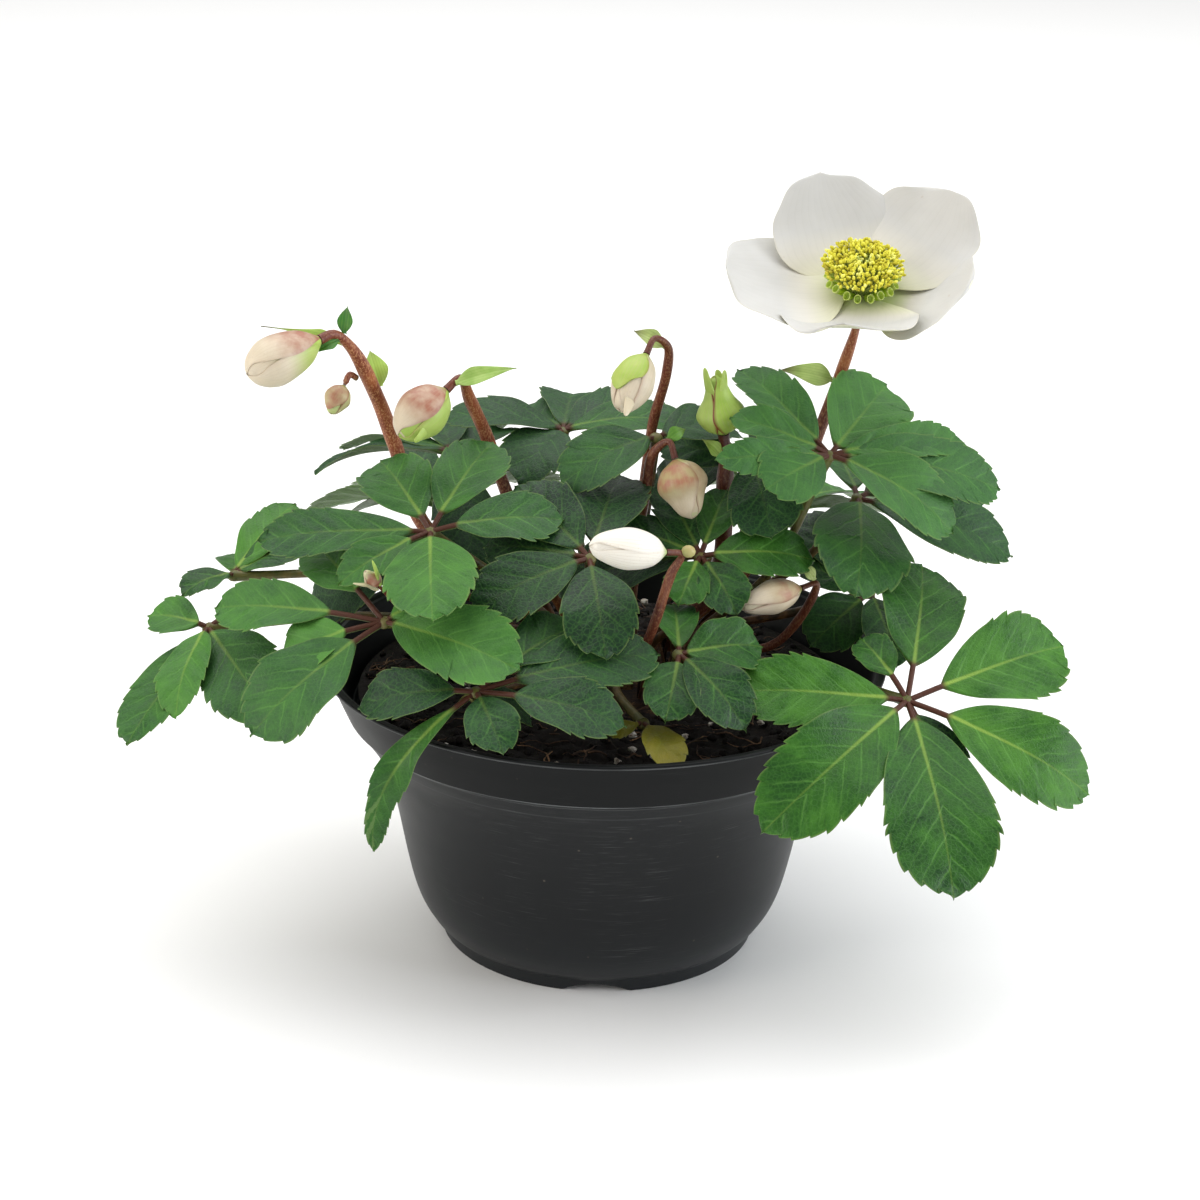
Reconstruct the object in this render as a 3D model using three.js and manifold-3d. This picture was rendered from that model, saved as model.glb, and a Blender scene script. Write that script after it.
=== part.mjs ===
// Christmas rose (Helleborus niger) growing in a black nursery bowl, in millimetres, +Z up.
// The origin is the centre of the pot's base, on the ground. +X is the plant's right, -Y its front.
import * as THREE from "three";
import { mergeVertices } from "three/addons/utils/BufferGeometryUtils.js";
import Module from "manifold-3d";

const wasm = await Module();
wasm.setup();

// ---------------------------------------------------------------- driving dimensions
const GAP = 0.3; // between pieces that touch
const SLANT_GAP = 0.5; // the same gap measured level, beside a slanted face
const DEGREE = Math.PI / 180;
const UP = new THREE.Vector3(0, 0, 1);

const RIM_RADIUS = 95;
const POT_HEIGHT = 100;
const POT_WALL = 2.2; // measured level, across the wall
const POT_SIDES = 32;
const FLOOR_UNDERSIDE = 3.2; // the floor is recessed inside the foot ring
const FLOOR_TOP = 5.2;
const PAD_RADIUS = 10; // moulded pad in the middle of the base, level with the foot ring
const FOOT_INNER_RADIUS = 50;
const BASE_DRAFT = 1; // how far the base's short upright walls lean, so that they leave the mould
const ARCH_WIDTH = 22; // four shallow arches let water out under the foot ring
const ARCH_HEIGHT = 2.8;
const ARCH_COUNT = 4;
const ARCH_SIDES = 40; // facets of the round cutter for an arch
const ARCH_CUT_RADII = [45, 65]; // the cut runs from inside the foot ring to outside it
const DRAIN_RADIUS = 4;
const DRAIN_RING_RADIUS = 36;
const DRAIN_COUNT = 8;
const DRAIN_SIDES = 8;
const DRAIN_CUT_LENGTH = 12; // centred on the floor's top, it passes right through

const INSIDE_HEIGHTS = [7.2, 21, 40, 60, 70, 78, 82, 98]; // where the inner wall bends

const SOIL_HEIGHT = 87;
const SOIL_MOUND = 1; // the soil is this much higher in the middle
const SOIL_MOUND_RADIUS = 48;
const CROWN_CENTRE = [6, 6];
const CROWN_RADIUS = 36;
const CROWN_TOP_RADIUS = 32;
const CROWN_SIDES = 20;
const CROWN_TOP = 94;
const FOOT_HEIGHT = CROWN_TOP + GAP; // where petioles and flower stems stand on the crown

const BLADE_THICKNESS = 0.8;
const BLADE_STEPS = 4; // facets from base to tip
const TIP_CROWDING = 0.3; // how much shorter those facets get towards the tip
const STALK_HALF_WIDTH = 1.1; // a leaflet's own short stalk
const PETIOLE_RADIUS = 1.6;
const PETIOLE_STEPS = 6;
const PETIOLE_UPRIGHT = 10; // how far a petiole first rises straight up
const STEM_SIDES = 6;
const STEM_STEPS = 13;
const STEM_UPRIGHT = 8; // how far a flower stem first rises straight up
const BUD_SIDES = 8;

const FLOWER_BASE = [81, 10, 223];
const FLOWER_TILT = 24; // degrees that the flower nods forward from straight up
const OPEN_STEM_STRAIGHT = 12; // how far below its base the flower's own axis begins
const RECEPTACLE_RADIUS = 4.5;
const RECEPTACLE_DEPTH = 3.6; // from the petals' base down to the stem
const RECEPTACLE_SIDES = 12;
const PETAL_LEVEL = 0.9; // where the petals' bases stand on the receptacle's side
const RING_SIDES = 16; // facets of the rings of nectaries and stamens
const CARPEL_SIDES = 8;

// ---------------------------------------------------------------- measured layout
// Outer profile of the pot, [radius, height], from the foot ring up to the lip.
const POT_OUTSIDE = [
  [53.6, 0], [54.2, 4.6], [57.4, 7.2], [61.4, 13.5], [64, 21], [66.4, 32], [67.9, 40], [69.9, 50],
  [72.8, 60], [76.9, 70], [82.4, 78], [84, 80.6], [86, 82], [89.5, 90], [92.6, 98],
  [RIM_RADIUS, 98.8], [RIM_RADIUS, POT_HEIGHT],
];

// Compound leaves. hub: where the leaflets meet. facing: heading and rise of the leaf's upper side.
// foot: where its petiole leaves the crown. via: a point that the petiole passes.
// leaflets: [heading, rise, length, width, stalk, roll, arch], angles in degrees, lengths in mm.
const LEAVES = [
  { name: "leaf_right_front", hub: [97, -52, 106], facing: [-75, 45], foot: [26, -15], via: [66, -30, 114],
    leaflets: [
      [-173, 6, 56, 24, 6, 0, 2], [-139, -24, 66, 30, 6, 0, 7], [-77, -37, 68, 36, 7, 0, 4],
      [-14, -21, 64, 29, 13, 0, 4], [28, 9, 61, 30, 12, 0, 3], [80, 32, 56, 28, 12, 0, 3],
      [136, 38, 25, 14, 9, 0, 2],
      [-47, -52, 32, 20, 5, 0, 2],
    ] },
  { name: "leaf_right_low", hub: [90, 18, 116], facing: [-70, 50], foot: [36, 6], via: [66, 10, 112],
    leaflets: [
      [-130, -16, 32, 20, 6, 0, 2], [-78, -20, 36, 18, 4, 0, 2], [170, 18, 26, 14, 3, 0, 2],
      [60, -14, 40, 20, 4, 0, 4],
      [136, 33, 38, 20, 3, 0, 1],
    ] },
  { name: "leaf_right_high", hub: [72, -8, 173], facing: [-60, 52], foot: [30, 0], via: [54, -8, 132],
    leaflets: [
      [141, 32, 43, 20, 6, 0, 1], [-178, 22, 34, 15, 5, 0, 2], [-156, 5, 40, 12, 5, -20, 3],
      [57, 22, 41, 29, 4, 0, 1], [26, -2, 53, 14, 4, 0, 4], [12, -13, 60, 25, 5, 0, 4],
      [-14, -26, 46, 26, 5, 0, 4], [-135, -8, 29, 22, 4, 0, 2],
    ] },
  { name: "leaf_right_back", hub: [84, 14, 151], facing: [-65, 52], foot: [34, 15], via: [66, 18, 126],
    leaflets: [
      [-2, -18, 55, 25, 4, 0, 3], [-93, -20, 46, 34, 3, 0, 3], [48, 2, 50, 22, 3, 0, 4],
      [100, 8, 38, 18, 5, 0, 2],
    ] },
  { name: "leaf_left_high", hub: [-56, -28, 151], facing: [-100, 60], foot: [-11, -4], via: [-32, -13, 128],
    leaflets: [
      [121, 22, 38, 24, 6, 0, 2], [62, 28, 43, 23, 7, 0, 2], [2, 7, 42, 20, 8, 0, 3],
      [-86, -14, 45, 29, 4, 0, 2], [178, -4, 55, 20, 5, 0, 2], [-149, -19, 34, 16, 7, 0, 2],
      [171, -37, 53, 25, 3, 0, 1],
    ] },
  { name: "leaf_left_front", hub: [-69, -52, 129], facing: [-110, 55], foot: [-17, -12], via: [-46, -33, 122],
    leaflets: [
      [163, -2, 58, 20, 17, 0, 3], [128, 20, 45, 20, 15, 0, 2], [-150, -31, 54, 30, 11, 0, 3],
      [-28, -6, 48, 27, 3, 0, 3], [18, 23, 29, 18, 2, 0, 2], [-174, -18, 34, 20, 12, 0, 2],
    ] },
  { name: "leaf_far_left", hub: [-129, -22, 114], facing: [-130, 60], foot: [-22, -1], via: [-78, -8, 114],
    leaflets: [
      [-122, -26, 50, 22, 3, 0, -1], [-100, -20, 40, 17, 3, 0, 3], [-61, -12, 50, 27, 3, 0, 2],
      [20, 20, 26, 16, 3, 0, 2],
      [170, 8, 20, 16, 3, 0, 2],
    ] },
  { name: "leaf_far_left_back", hub: [-124, 6, 122], facing: [-120, 60], foot: [-23, 9], via: [-74, 8, 122],
    leaflets: [
      [57, 28, 36, 18, 2, 0, 2], [-135, -2, 21, 13, 2, 0, 2], [26, 18, 26, 16, 2, 0, 2],
      [84, -12, 46, 22, 2, 0, 4],
    ] },
  { name: "leaf_front_low", hub: [-39, -74, 115], facing: [-95, 60], foot: [-8, -21], via: [-22, -46, 108],
    leaflets: [
      [-177, -6, 36, 19, 6, 0, 3], [14, 9, 58, 24, 12, 0, 3], [-14, -5, 47, 21, 12, 0, 3],
      [38, 20, 42, 20, 12, 0, 3], [-173, -56, 63, 17, 6, 0, 13], [-66, -26, 24, 17, 3, 0, 2],
      [36, -33, 25, 13, 3, 0, 1],
    ] },
  { name: "leaf_centre", hub: [-5, -36, 146], facing: [-90, 55], foot: [-2, -10], via: [-3, -22, 120],
    leaflets: [
      [-154, -16, 41, 23, 4, 0, 3], [-80, -30, 38, 24, 4, 0, 3], [76, 24, 42, 25, 6, 0, 2],
      [134, 24, 38, 22, 4, 0, 2], [168, 2, 34, 20, 4, 0, 2],
    ] },
  { name: "leaf_centre_low", hub: [24, -52, 120], facing: [-80, 55], foot: [15, -22], via: [21, -38, 106],
    leaflets: [
      [15, 3, 27, 20, 2, 0, 2], [94, 22, 24, 14, 2, 0, 2], [-100, -28, 26, 18, 4, 0, 2],
      [-46, -26, 33, 20, 3, 0, 3],
    ] },
  { name: "leaf_centre_right", hub: [31, -18, 141], facing: [-90, 55], foot: [16, -6], via: [24, -13, 116],
    leaflets: [
      [163, 13, 28, 16, 2, 0, 2], [64, 42, 26, 14, 4, 0, 1], [-3, 2, 36, 20, 4, 0, 3],
      [-60, -26, 25, 17, 4, 0, 2], [-110, -24, 22, 15, 4, 0, 2],
      [121, 36, 31, 15, 3, 0, 2], [165, -18, 51, 24, 3, 0, 3],
    ] },
  { name: "leaf_top_back", hub: [-15, 34, 166], facing: [-90, 76], foot: [-2, 22], via: [-9, 30, 130],
    leaflets: [
      [-170, 9, 40, 19, 2, 0, 4], [-116, -12, 32, 24, 2, 0, 3], [118, -14, 54, 22, 2, 0, 6],
      [86, -5, 55, 22, 2, 0, 6], [42, 2, 42, 20, 2, 0, 5], [4, 1, 46, 20, 2, 0, 5],
    ] },
  { name: "leaf_top_left", hub: [-53, 24, 161], facing: [80, 80], foot: [-18, 20], via: [-36, 23, 130],
    leaflets: [
      [179, -7, 45, 19, 2, 0, 3], [140, -10, 50, 20, 2, 0, 4], [100, -4, 46, 20, 2, 0, 4],
      [-74, -36, 52, 25, 3, 0, 2], [64, -3, 44, 22, 3, 0, 0],
    ] },
  { name: "leaf_top_right", hub: [16, 4, 174], facing: [-90, 62], foot: [6, 9], via: [12, 8, 136],
    leaflets: [
      [-155, -18, 35, 23, 2, 0, 4], [42, -6, 38, 20, 2, 0, 4],
    ] },
  { name: "leaf_dark_right", hub: [48, 8, 166], facing: [-90, 45], foot: [22, 22], via: [44, 20, 128],
    leaflets: [
      [-78, -32, 32, 24, 2, 0, 2], [72, -5, 38, 18, 2, 0, 3],
      [159, 4, 33, 16, 3, 0, 0], [137, -22, 50, 25, 3, 0, 1],
    ] },
  { name: "leaf_yellow", hub: [13, -63, 101], facing: [-70, 55], foot: [3, -25], via: [5, -44, 103],
    leaflets: [
      [-62, -16, 22, 13, 3, 0, 2], [-150, -6, 12, 6, 2, 0, 1],
    ] },
  { name: "leaf_back_left", hub: [-56, 62, 128], facing: [115, 60], foot: [-7, 31], via: [-34, 48, 122],
    leaflets: [
      [125, -10, 58, 26, 4, 0, 5], [168, -8, 54, 24, 4, 0, 5], [82, -8, 58, 26, 4, 0, 5],
      [40, 0, 50, 22, 4, 0, 5], [-150, 2, 44, 20, 4, 0, 5],
      [121, 29, 32, 15, 3, 0, 1],
    ] },
  { name: "leaf_back_right", hub: [62, 60, 130], facing: [60, 60], foot: [20, 31], via: [44, 48, 122],
    leaflets: [
      [52, -10, 60, 28, 4, 0, 5], [10, -8, 56, 26, 4, 0, 5], [94, -8, 58, 24, 4, 0, 5],
      [136, 0, 48, 22, 4, 0, 5], [-30, 2, 44, 20, 4, 0, 5],
    ] },
];

// Flower stems with their closed buds. route: points that the stem passes, from the crown up.
// bud: [length, diameter]; it sits on the stem's end and points the way that the stem ends.
const BUDS = [
  { name: "left", radius: 2.5, bud: [27, 17],
    route: [[-14, 6], [-36, 6, 118], [-61, 7, 142], [-70, 7, 169], [-75, -2, 188], [-82, -15, 208],
      [-87, -21, 214], [-91, -24, 213]] },
  { name: "left_small", radius: 1, bud: [10, 9],
    route: [[-81, -8, 196], [-83, -10, 197.6], [-84.5, -12, 194.8]] },
  { name: "second", radius: 2.2, bud: [22, 17],
    route: [[-10, 13], [-25, 13, 130], [-35, 15, 155], [-40, 12, 171], [-45, 3, 186], [-48, -6, 196],
      [-52, -9, 193]] },
  { name: "tall", radius: 1.7, bud: [22, 15],
    route: [[9, 18], [11, 22, 130], [13, 22, 155], [15, 19, 174], [19, 12, 194], [19, 8, 204],
      [14.5, 3, 208], [12, -1, 204]] },
  { name: "upright", radius: 2.9, bud: [25, 16],
    route: [[17, 7], [34, 10, 115], [39, 9, 131], [39, 6, 152], [39, 4, 170], [38, 3.6, 176]] },
  { name: "hanging", radius: 1.7, bud: [20, 17],
    route: [[4, 0], [9, 0, 130], [13, -3, 158], [15, -6, 172], [20, -9, 177], [22, -11, 172]] },
  { name: "white", radius: 1.6, bud: [27, 13.5],
    route: [[8, -14], [10, -34, 108], [14, -44, 121], [17, -48, 132], [21, -50, 147], [24, -52, 154],
      [19, -54.5, 155.5]] },
  { name: "pink", radius: 1.5, bud: [23, 11],
    route: [[33, -4], [55, -8, 106], [65, -13, 119], [69, -18, 132.5], [64, -21, 132]] },
  { name: "tiny", radius: 1, bud: [8, 6],
    route: [[-11, -14], [-35, -26, 109], [-59, -36, 122], [-67, -43, 133], [-71.4, -48, 140.2]] },
];

// The open flower's stem; its last stretch runs up the flower's own axis.
const OPEN_STEM_RADIUS = 2;
const OPEN_STEM_ROUTE = [
  [26, 13], [44, 18, 118], [55, 20, 134], [64, 22, 149], [71, 25, 171], [76, 24, 188],
];

// Bracts. on: the stem that carries it. ring: how many facets below the stem's end it stands.
const BRACTS = [
  { name: "bract_left_hair", on: "left", ring: 1, heading: 188, rise: 24, length: 26, width: 6, arch: 2 },
  { name: "bract_left_upper", on: "left", ring: 1, heading: 50, rise: 78, length: 9, width: 6, arch: 1 },
  { name: "bract_left_node", on: "left", ring: 4, heading: 0, rise: 60, length: 11, width: 8, arch: 1 },
  { name: "bract_second", on: "second", ring: 1, heading: 5, rise: 34, length: 19, width: 8, arch: 2 },
  { name: "bract_tall", on: "tall", ring: 1, heading: 190, rise: 40, length: 10, width: 6, arch: 1 },
  { name: "bract_hanging", on: "hanging", ring: 1, heading: 20, rise: 30, length: 9, width: 7, arch: 1 },
  { name: "bract_pink", on: "pink", ring: 1, heading: 180, rise: 50, length: 11, width: 5, arch: 2 },
  { name: "bract_open", on: "open", ring: 3, heading: 185, rise: 12, length: 18, width: 9, arch: 2 },
  { name: "bract_flower", on: "open", ring: 1, heading: -40, rise: -8, length: 12, width: 7, arch: 1 },
  { name: "bract_upright", on: "upright", ring: 1, heading: 200, rise: 30, length: 8, width: 5, arch: 1 },
];
const BRACT_FACING = [-90, 35];
const BRACT_SEAT = 0.55; // extra clearance for the corners of a bract's base

// Petals of the open flower round its axis: [heading, rise, length, width].
const PETALS = [
  [107, 26, 40, 42],
  [43, 26, 41, 42],
  [-20, 28, 30, 36],
  [-99, 22, 34, 38],
  [185, 11, 41, 48],
];

// ---------------------------------------------------------------- materials
function finish(color, roughness) {
  return new THREE.MeshStandardMaterial({ color, roughness, metalness: 0 });
}

const MATERIALS = {
  pot: finish("#2e3132", 0.45),
  soil: finish("#231c18", 0.95),
  crown: finish("#4a3a2a", 0.9),
  leaf: finish("#2f6a35", 0.5),
  stem: finish("#7d4030", 0.55),
  bract: finish("#8fb04c", 0.6),
  bud: finish("#e3dccb", 0.5),
  petal: finish("#e4e2de", 0.5),
  receptacle: finish("#8a9a4a", 0.6),
  nectary: finish("#8fae1f", 0.4),
  stamen: finish("#e6d02b", 0.6),
  carpel: finish("#c9d68a", 0.5),
};

// ---------------------------------------------------------------- shapes
function vector([x, y, z = FOOT_HEIGHT]) {
  return new THREE.Vector3(x, y, z);
}

function direction(heading, rise) {
  const level = Math.cos(rise * DEGREE);
  return new THREE.Vector3(
    Math.cos(heading * DEGREE) * level,
    Math.sin(heading * DEGREE) * level,
    Math.sin(rise * DEGREE),
  );
}

/** The geometry with only its positions left and its shared vertices merged. */
function weld(geometry) {
  const bare = geometry.clone();
  bare.deleteAttribute("normal");
  bare.deleteAttribute("uv");
  return mergeVertices(bare, 1e-4);
}

function toSolid(geometry) {
  const welded = weld(geometry);
  return new wasm.Manifold(new wasm.Mesh({
    numProp: 3,
    vertProperties: new Float32Array(welded.attributes.position.array),
    triVerts: new Uint32Array(welded.index.array),
  }));
}

function toGeometry(solid) {
  const mesh = solid.getMesh();
  const geometry = new THREE.BufferGeometry();
  geometry.setAttribute("position", new THREE.BufferAttribute(mesh.vertProperties, 3));
  geometry.setIndex(new THREE.BufferAttribute(mesh.triVerts, 1));
  return geometry;
}

/** A profile of [radius, height] points turned about the Z axis. */
function turned(profile, sides) {
  const points = profile.map(([radius, height]) => new THREE.Vector2(radius, height));
  return weld(new THREE.LatheGeometry(points, sides).rotateX(Math.PI / 2));
}

function smoothCurve(points) {
  return new THREE.CatmullRomCurve3(points, false, "centripetal");
}

/** A bar of round section along a smooth curve through the points. */
function tube(points, radius, steps) {
  const section = new THREE.Shape();
  section.absarc(0, 0, radius, 0, 2 * Math.PI);
  const settings = { extrudePath: smoothCurve(points), steps, curveSegments: STEM_SIDES / 2 };
  return weld(new THREE.ExtrudeGeometry(section, settings));
}

/** Half width of a blade, as a share of its greatest, at u from 0 at its base to 1 at its tip. */
function outline(u, widest, fullness) {
  const power = Math.log(0.5) / Math.log(widest);
  return Math.sin(Math.PI * Math.min(Math.max(u, 0), 1) ** power) ** fullness;
}

/**
 * A thin blade from its base: a box bent so that its length follows the midrib, which bows by
 * arch. Where it has halves, they rise out of the midrib by fold. Its blunt tip is tipShare wide.
 */
function blade({ base, heading, rise, length, width, facing, roll = 0, arch = 0, halves = 1, fold = 0,
  stalk = 0, stalkHalf = STALK_HALF_WIDTH, tipShare = 0.24, widest = 0.6, fullness = 0.72,
  thickness = BLADE_THICKNESS, steps = BLADE_STEPS }) {
  const along = direction(heading, rise);
  const up = facing.clone().addScaledVector(along, -facing.dot(along)).normalize();
  up.applyAxisAngle(along, roll * DEGREE);
  const across = new THREE.Vector3().crossVectors(along, up);
  const geometry = weld(new THREE.BoxGeometry(1, 1, 1, halves, steps, 1));
  const position = geometry.attributes.position;
  for (let i = 0; i < position.count; i += 1) {
    const step = position.getY(i) + 0.5;
    const u = step * (1 + TIP_CROWDING * (1 - step));
    const v = position.getX(i) * 2;
    const bladeShare = (u * length - stalk) / (length - stalk);
    const least = u < 0.5 ? stalkHalf : (tipShare * width) / 2;
    const half = Math.max(least, (width / 2) * outline(bladeShare, widest, fullness));
    const lift = arch * 4 * u * (1 - u) + Math.abs(v) * half * fold + position.getZ(i) * thickness;
    const point = base.clone()
      .addScaledVector(along, length * u)
      .addScaledVector(across, half * v)
      .addScaledVector(up, lift);
    position.setXYZ(i, point.x, point.y, point.z);
  }
  return geometry;
}

// ---------------------------------------------------------------- pot, soil and crown
const POT_INSIDE = POT_OUTSIDE
  .filter(([, height]) => INSIDE_HEIGHTS.includes(height))
  .map(([radius, height]) => [radius - POT_WALL, height]);

/** Radius of the inner wall at a height between two of its bends. */
function insideRadius(height) {
  const above = POT_INSIDE.findIndex((point) => point[1] > height);
  const [r1, z1] = POT_INSIDE[above - 1];
  const [r2, z2] = POT_INSIDE[above];
  return r1 + ((r2 - r1) * (height - z1)) / (z2 - z1);
}

function potSolid() {
  const profile = [
    [0, 0], [PAD_RADIUS, 0], [PAD_RADIUS + BASE_DRAFT, FLOOR_UNDERSIDE],
    [FOOT_INNER_RADIUS - BASE_DRAFT, FLOOR_UNDERSIDE], [FOOT_INNER_RADIUS, 0],
    ...POT_OUTSIDE, [RIM_RADIUS - POT_WALL, POT_HEIGHT],
    ...POT_INSIDE.toReversed(), [FOOT_INNER_RADIUS, FLOOR_TOP], [0, FLOOR_TOP],
  ];
  let pot = toSolid(turned(profile, POT_SIDES));
  const archRadius = (ARCH_WIDTH ** 2 / 4 + ARCH_HEIGHT ** 2) / (2 * ARCH_HEIGHT);
  const [cutFrom, cutTo] = ARCH_CUT_RADII;
  for (let i = 0; i < ARCH_COUNT; i += 1) {
    const arch = new THREE.CylinderGeometry(archRadius, archRadius, cutTo - cutFrom, ARCH_SIDES)
      .translate(0, (cutFrom + cutTo) / 2, ARCH_HEIGHT - archRadius)
      .rotateZ((i * 2 * Math.PI) / ARCH_COUNT);
    pot = pot.subtract(toSolid(arch));
  }
  for (let i = 0; i < DRAIN_COUNT; i += 1) {
    const drain = new THREE.CylinderGeometry(DRAIN_RADIUS, DRAIN_RADIUS, DRAIN_CUT_LENGTH, DRAIN_SIDES)
      .rotateX(Math.PI / 2)
      .translate(DRAIN_RING_RADIUS, 0, FLOOR_TOP)
      .rotateZ(((i + 0.5) * 2 * Math.PI) / DRAIN_COUNT);
    pot = pot.subtract(toSolid(drain));
  }
  return toGeometry(pot);
}

function soilSolid() {
  const wall = POT_INSIDE.filter(([, height]) => height < SOIL_HEIGHT);
  const profile = [
    [0, FLOOR_TOP + GAP], [FOOT_INNER_RADIUS - BASE_DRAFT, FLOOR_TOP + GAP],
    ...wall.map(([radius, height]) => [radius - SLANT_GAP, height + GAP]),
    [insideRadius(SOIL_HEIGHT) - SLANT_GAP, SOIL_HEIGHT],
    [SOIL_MOUND_RADIUS, SOIL_HEIGHT + SOIL_MOUND], [0, SOIL_HEIGHT + SOIL_MOUND],
  ];
  return turned(profile, POT_SIDES);
}

function crownSolid() {
  const bottom = SOIL_HEIGHT + SOIL_MOUND + GAP;
  const profile = [[0, bottom], [CROWN_RADIUS, bottom], [CROWN_TOP_RADIUS, CROWN_TOP], [0, CROWN_TOP]];
  return turned(profile, CROWN_SIDES).translate(...CROWN_CENTRE, 0);
}

// ---------------------------------------------------------------- leaves
/** One compound leaf: a petiole and its leaflets, grown together at the hub. */
function leafSolid({ hub, facing, foot, via, leaflets }) {
  const centre = vector(hub);
  const face = direction(...facing);
  const start = vector(foot);
  const rising = start.clone().addScaledVector(UP, PETIOLE_UPRIGHT);
  let leaf = toSolid(tube([start, rising, vector(via), centre], PETIOLE_RADIUS, PETIOLE_STEPS));
  for (const [heading, rise, length, width, stalk, roll, arch] of leaflets) {
    const shape = { base: centre, facing: face, heading, rise, length, width, stalk, roll, arch };
    leaf = leaf.add(toSolid(blade(shape)));
  }
  return toGeometry(leaf);
}

// ---------------------------------------------------------------- stems, buds and bracts
function stemPoints(route) {
  const points = route.map(vector);
  if (route[0].length === 2) {
    points.splice(1, 0, points[0].clone().addScaledVector(UP, STEM_UPRIGHT));
  }
  return points;
}

/** A closed bud, turned about +Z: a narrow neck, a full body and a blunt point. */
function budSolid([length, diameter], neck) {
  const half = diameter / 2;
  const profile = [
    [0, 0], [neck, 0], [half * 0.72, length * 0.16], [half, length * 0.42], [half * 0.9, length * 0.66],
    [half * 0.5, length * 0.9], [0, length],
  ];
  return turned(profile, BUD_SIDES);
}

/** A bract that stands on its stem's side. */
function bractSolid({ on, ring, heading, rise, length, width, arch }) {
  const { curve, radius } = stems[on];
  const share = 1 - ring / STEM_STEPS;
  const tangent = curve.getTangentAt(share);
  const out = direction(heading, rise);
  out.addScaledVector(tangent, -out.dot(tangent)).normalize();
  const base = curve.getPointAt(share).addScaledVector(out, radius + GAP + BRACT_SEAT);
  return blade({
    base, heading, rise, length, width, arch, facing: direction(...BRACT_FACING), halves: 2,
    fold: 0.25, stalkHalf: 0.9, tipShare: 0.15, widest: 0.45, fullness: 0.9, steps: 3,
  });
}

// ---------------------------------------------------------------- open flower, about its own axis
function petalSolid([heading, rise, length, width]) {
  const base = direction(heading, 0).multiplyScalar(RECEPTACLE_RADIUS + SLANT_GAP);
  base.z = PETAL_LEVEL;
  return blade({
    base, heading, rise, length, width, facing: UP, roll: 9, arch: -4, halves: 2, fold: 0.12,
    stalkHalf: 2, tipShare: 0.4, widest: 0.62, fullness: 0.6, steps: 5,
  });
}

const RECEPTACLE = [
  [0, -RECEPTACLE_DEPTH], [2.2, -RECEPTACLE_DEPTH], [RECEPTACLE_RADIUS, -1], [RECEPTACLE_RADIUS, 0.6],
  [0, 1.4],
];
const NECTARIES = [[4.7, 5], [7.6, 5.4], [11, 8.4], [11.6, 10], [8.2, 9.4], [4.7, 7.6]];
const STAMENS = [[3, 1.6], [4.3, 1.4], [4.3, 8.4], [12, 11], [14, 12.8], [10, 14.6], [4.4, 13.6], [3, 9]];
const CARPELS = [[0, 1.8], [2.4, 2.2], [2.6, 7], [1.8, 10], [0.9, 15], [0, 15.2]];

// ---------------------------------------------------------------- the plant
const plant = new THREE.Group();

function addPiece(name, geometry, material, parent = plant) {
  const mesh = new THREE.Mesh(geometry, material);
  mesh.name = name;
  parent.add(mesh);
  return mesh;
}

addPiece("pot", potSolid(), MATERIALS.pot);
addPiece("soil", soilSolid(), MATERIALS.soil);
addPiece("crown", crownSolid(), MATERIALS.crown);

for (const leaf of LEAVES) {
  addPiece(leaf.name, leafSolid(leaf), MATERIALS.leaf);
}

const stems = {};

function addStem(name, points, radius) {
  addPiece(`stem_${name}`, tube(points, radius, STEM_STEPS), MATERIALS.stem);
  stems[name] = { curve: smoothCurve(points), radius };
}

for (const { name, radius, bud, route } of BUDS) {
  addStem(name, stemPoints(route), radius);
  const { curve } = stems[name];
  const axis = curve.getTangent(1);
  const mesh = addPiece(`bud_${name}`, budSolid(bud, radius), MATERIALS.bud);
  mesh.position.copy(curve.getPoint(1)).addScaledVector(axis, GAP);
  mesh.quaternion.setFromUnitVectors(UP, axis);
}

const flowerBase = vector(FLOWER_BASE);
const flowerAxis = UP.clone().applyAxisAngle(new THREE.Vector3(1, 0, 0), FLOWER_TILT * DEGREE);
const alongAxis = (distance) => flowerBase.clone().addScaledVector(flowerAxis, distance);
addStem(
  "open",
  [
    ...stemPoints(OPEN_STEM_ROUTE), alongAxis(-OPEN_STEM_STRAIGHT), alongAxis(-RECEPTACLE_DEPTH - GAP),
  ],
  OPEN_STEM_RADIUS,
);

for (const bract of BRACTS) {
  addPiece(bract.name, bractSolid(bract), MATERIALS.bract);
}

const flower = new THREE.Group();
flower.position.copy(flowerBase);
flower.rotation.x = FLOWER_TILT * DEGREE;
plant.add(flower);
addPiece("receptacle", turned(RECEPTACLE, RECEPTACLE_SIDES), MATERIALS.receptacle, flower);
PETALS.forEach((petal, i) => {
  addPiece(`petal_${i + 1}`, petalSolid(petal), MATERIALS.petal, flower);
});
addPiece("nectaries", turned([...NECTARIES, NECTARIES[0]], RING_SIDES), MATERIALS.nectary, flower);
addPiece("stamens", turned([...STAMENS, STAMENS[0]], RING_SIDES), MATERIALS.stamen, flower);
addPiece("carpels", turned(CARPELS, CARPEL_SIDES), MATERIALS.carpel, flower);

export default plant;
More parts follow.
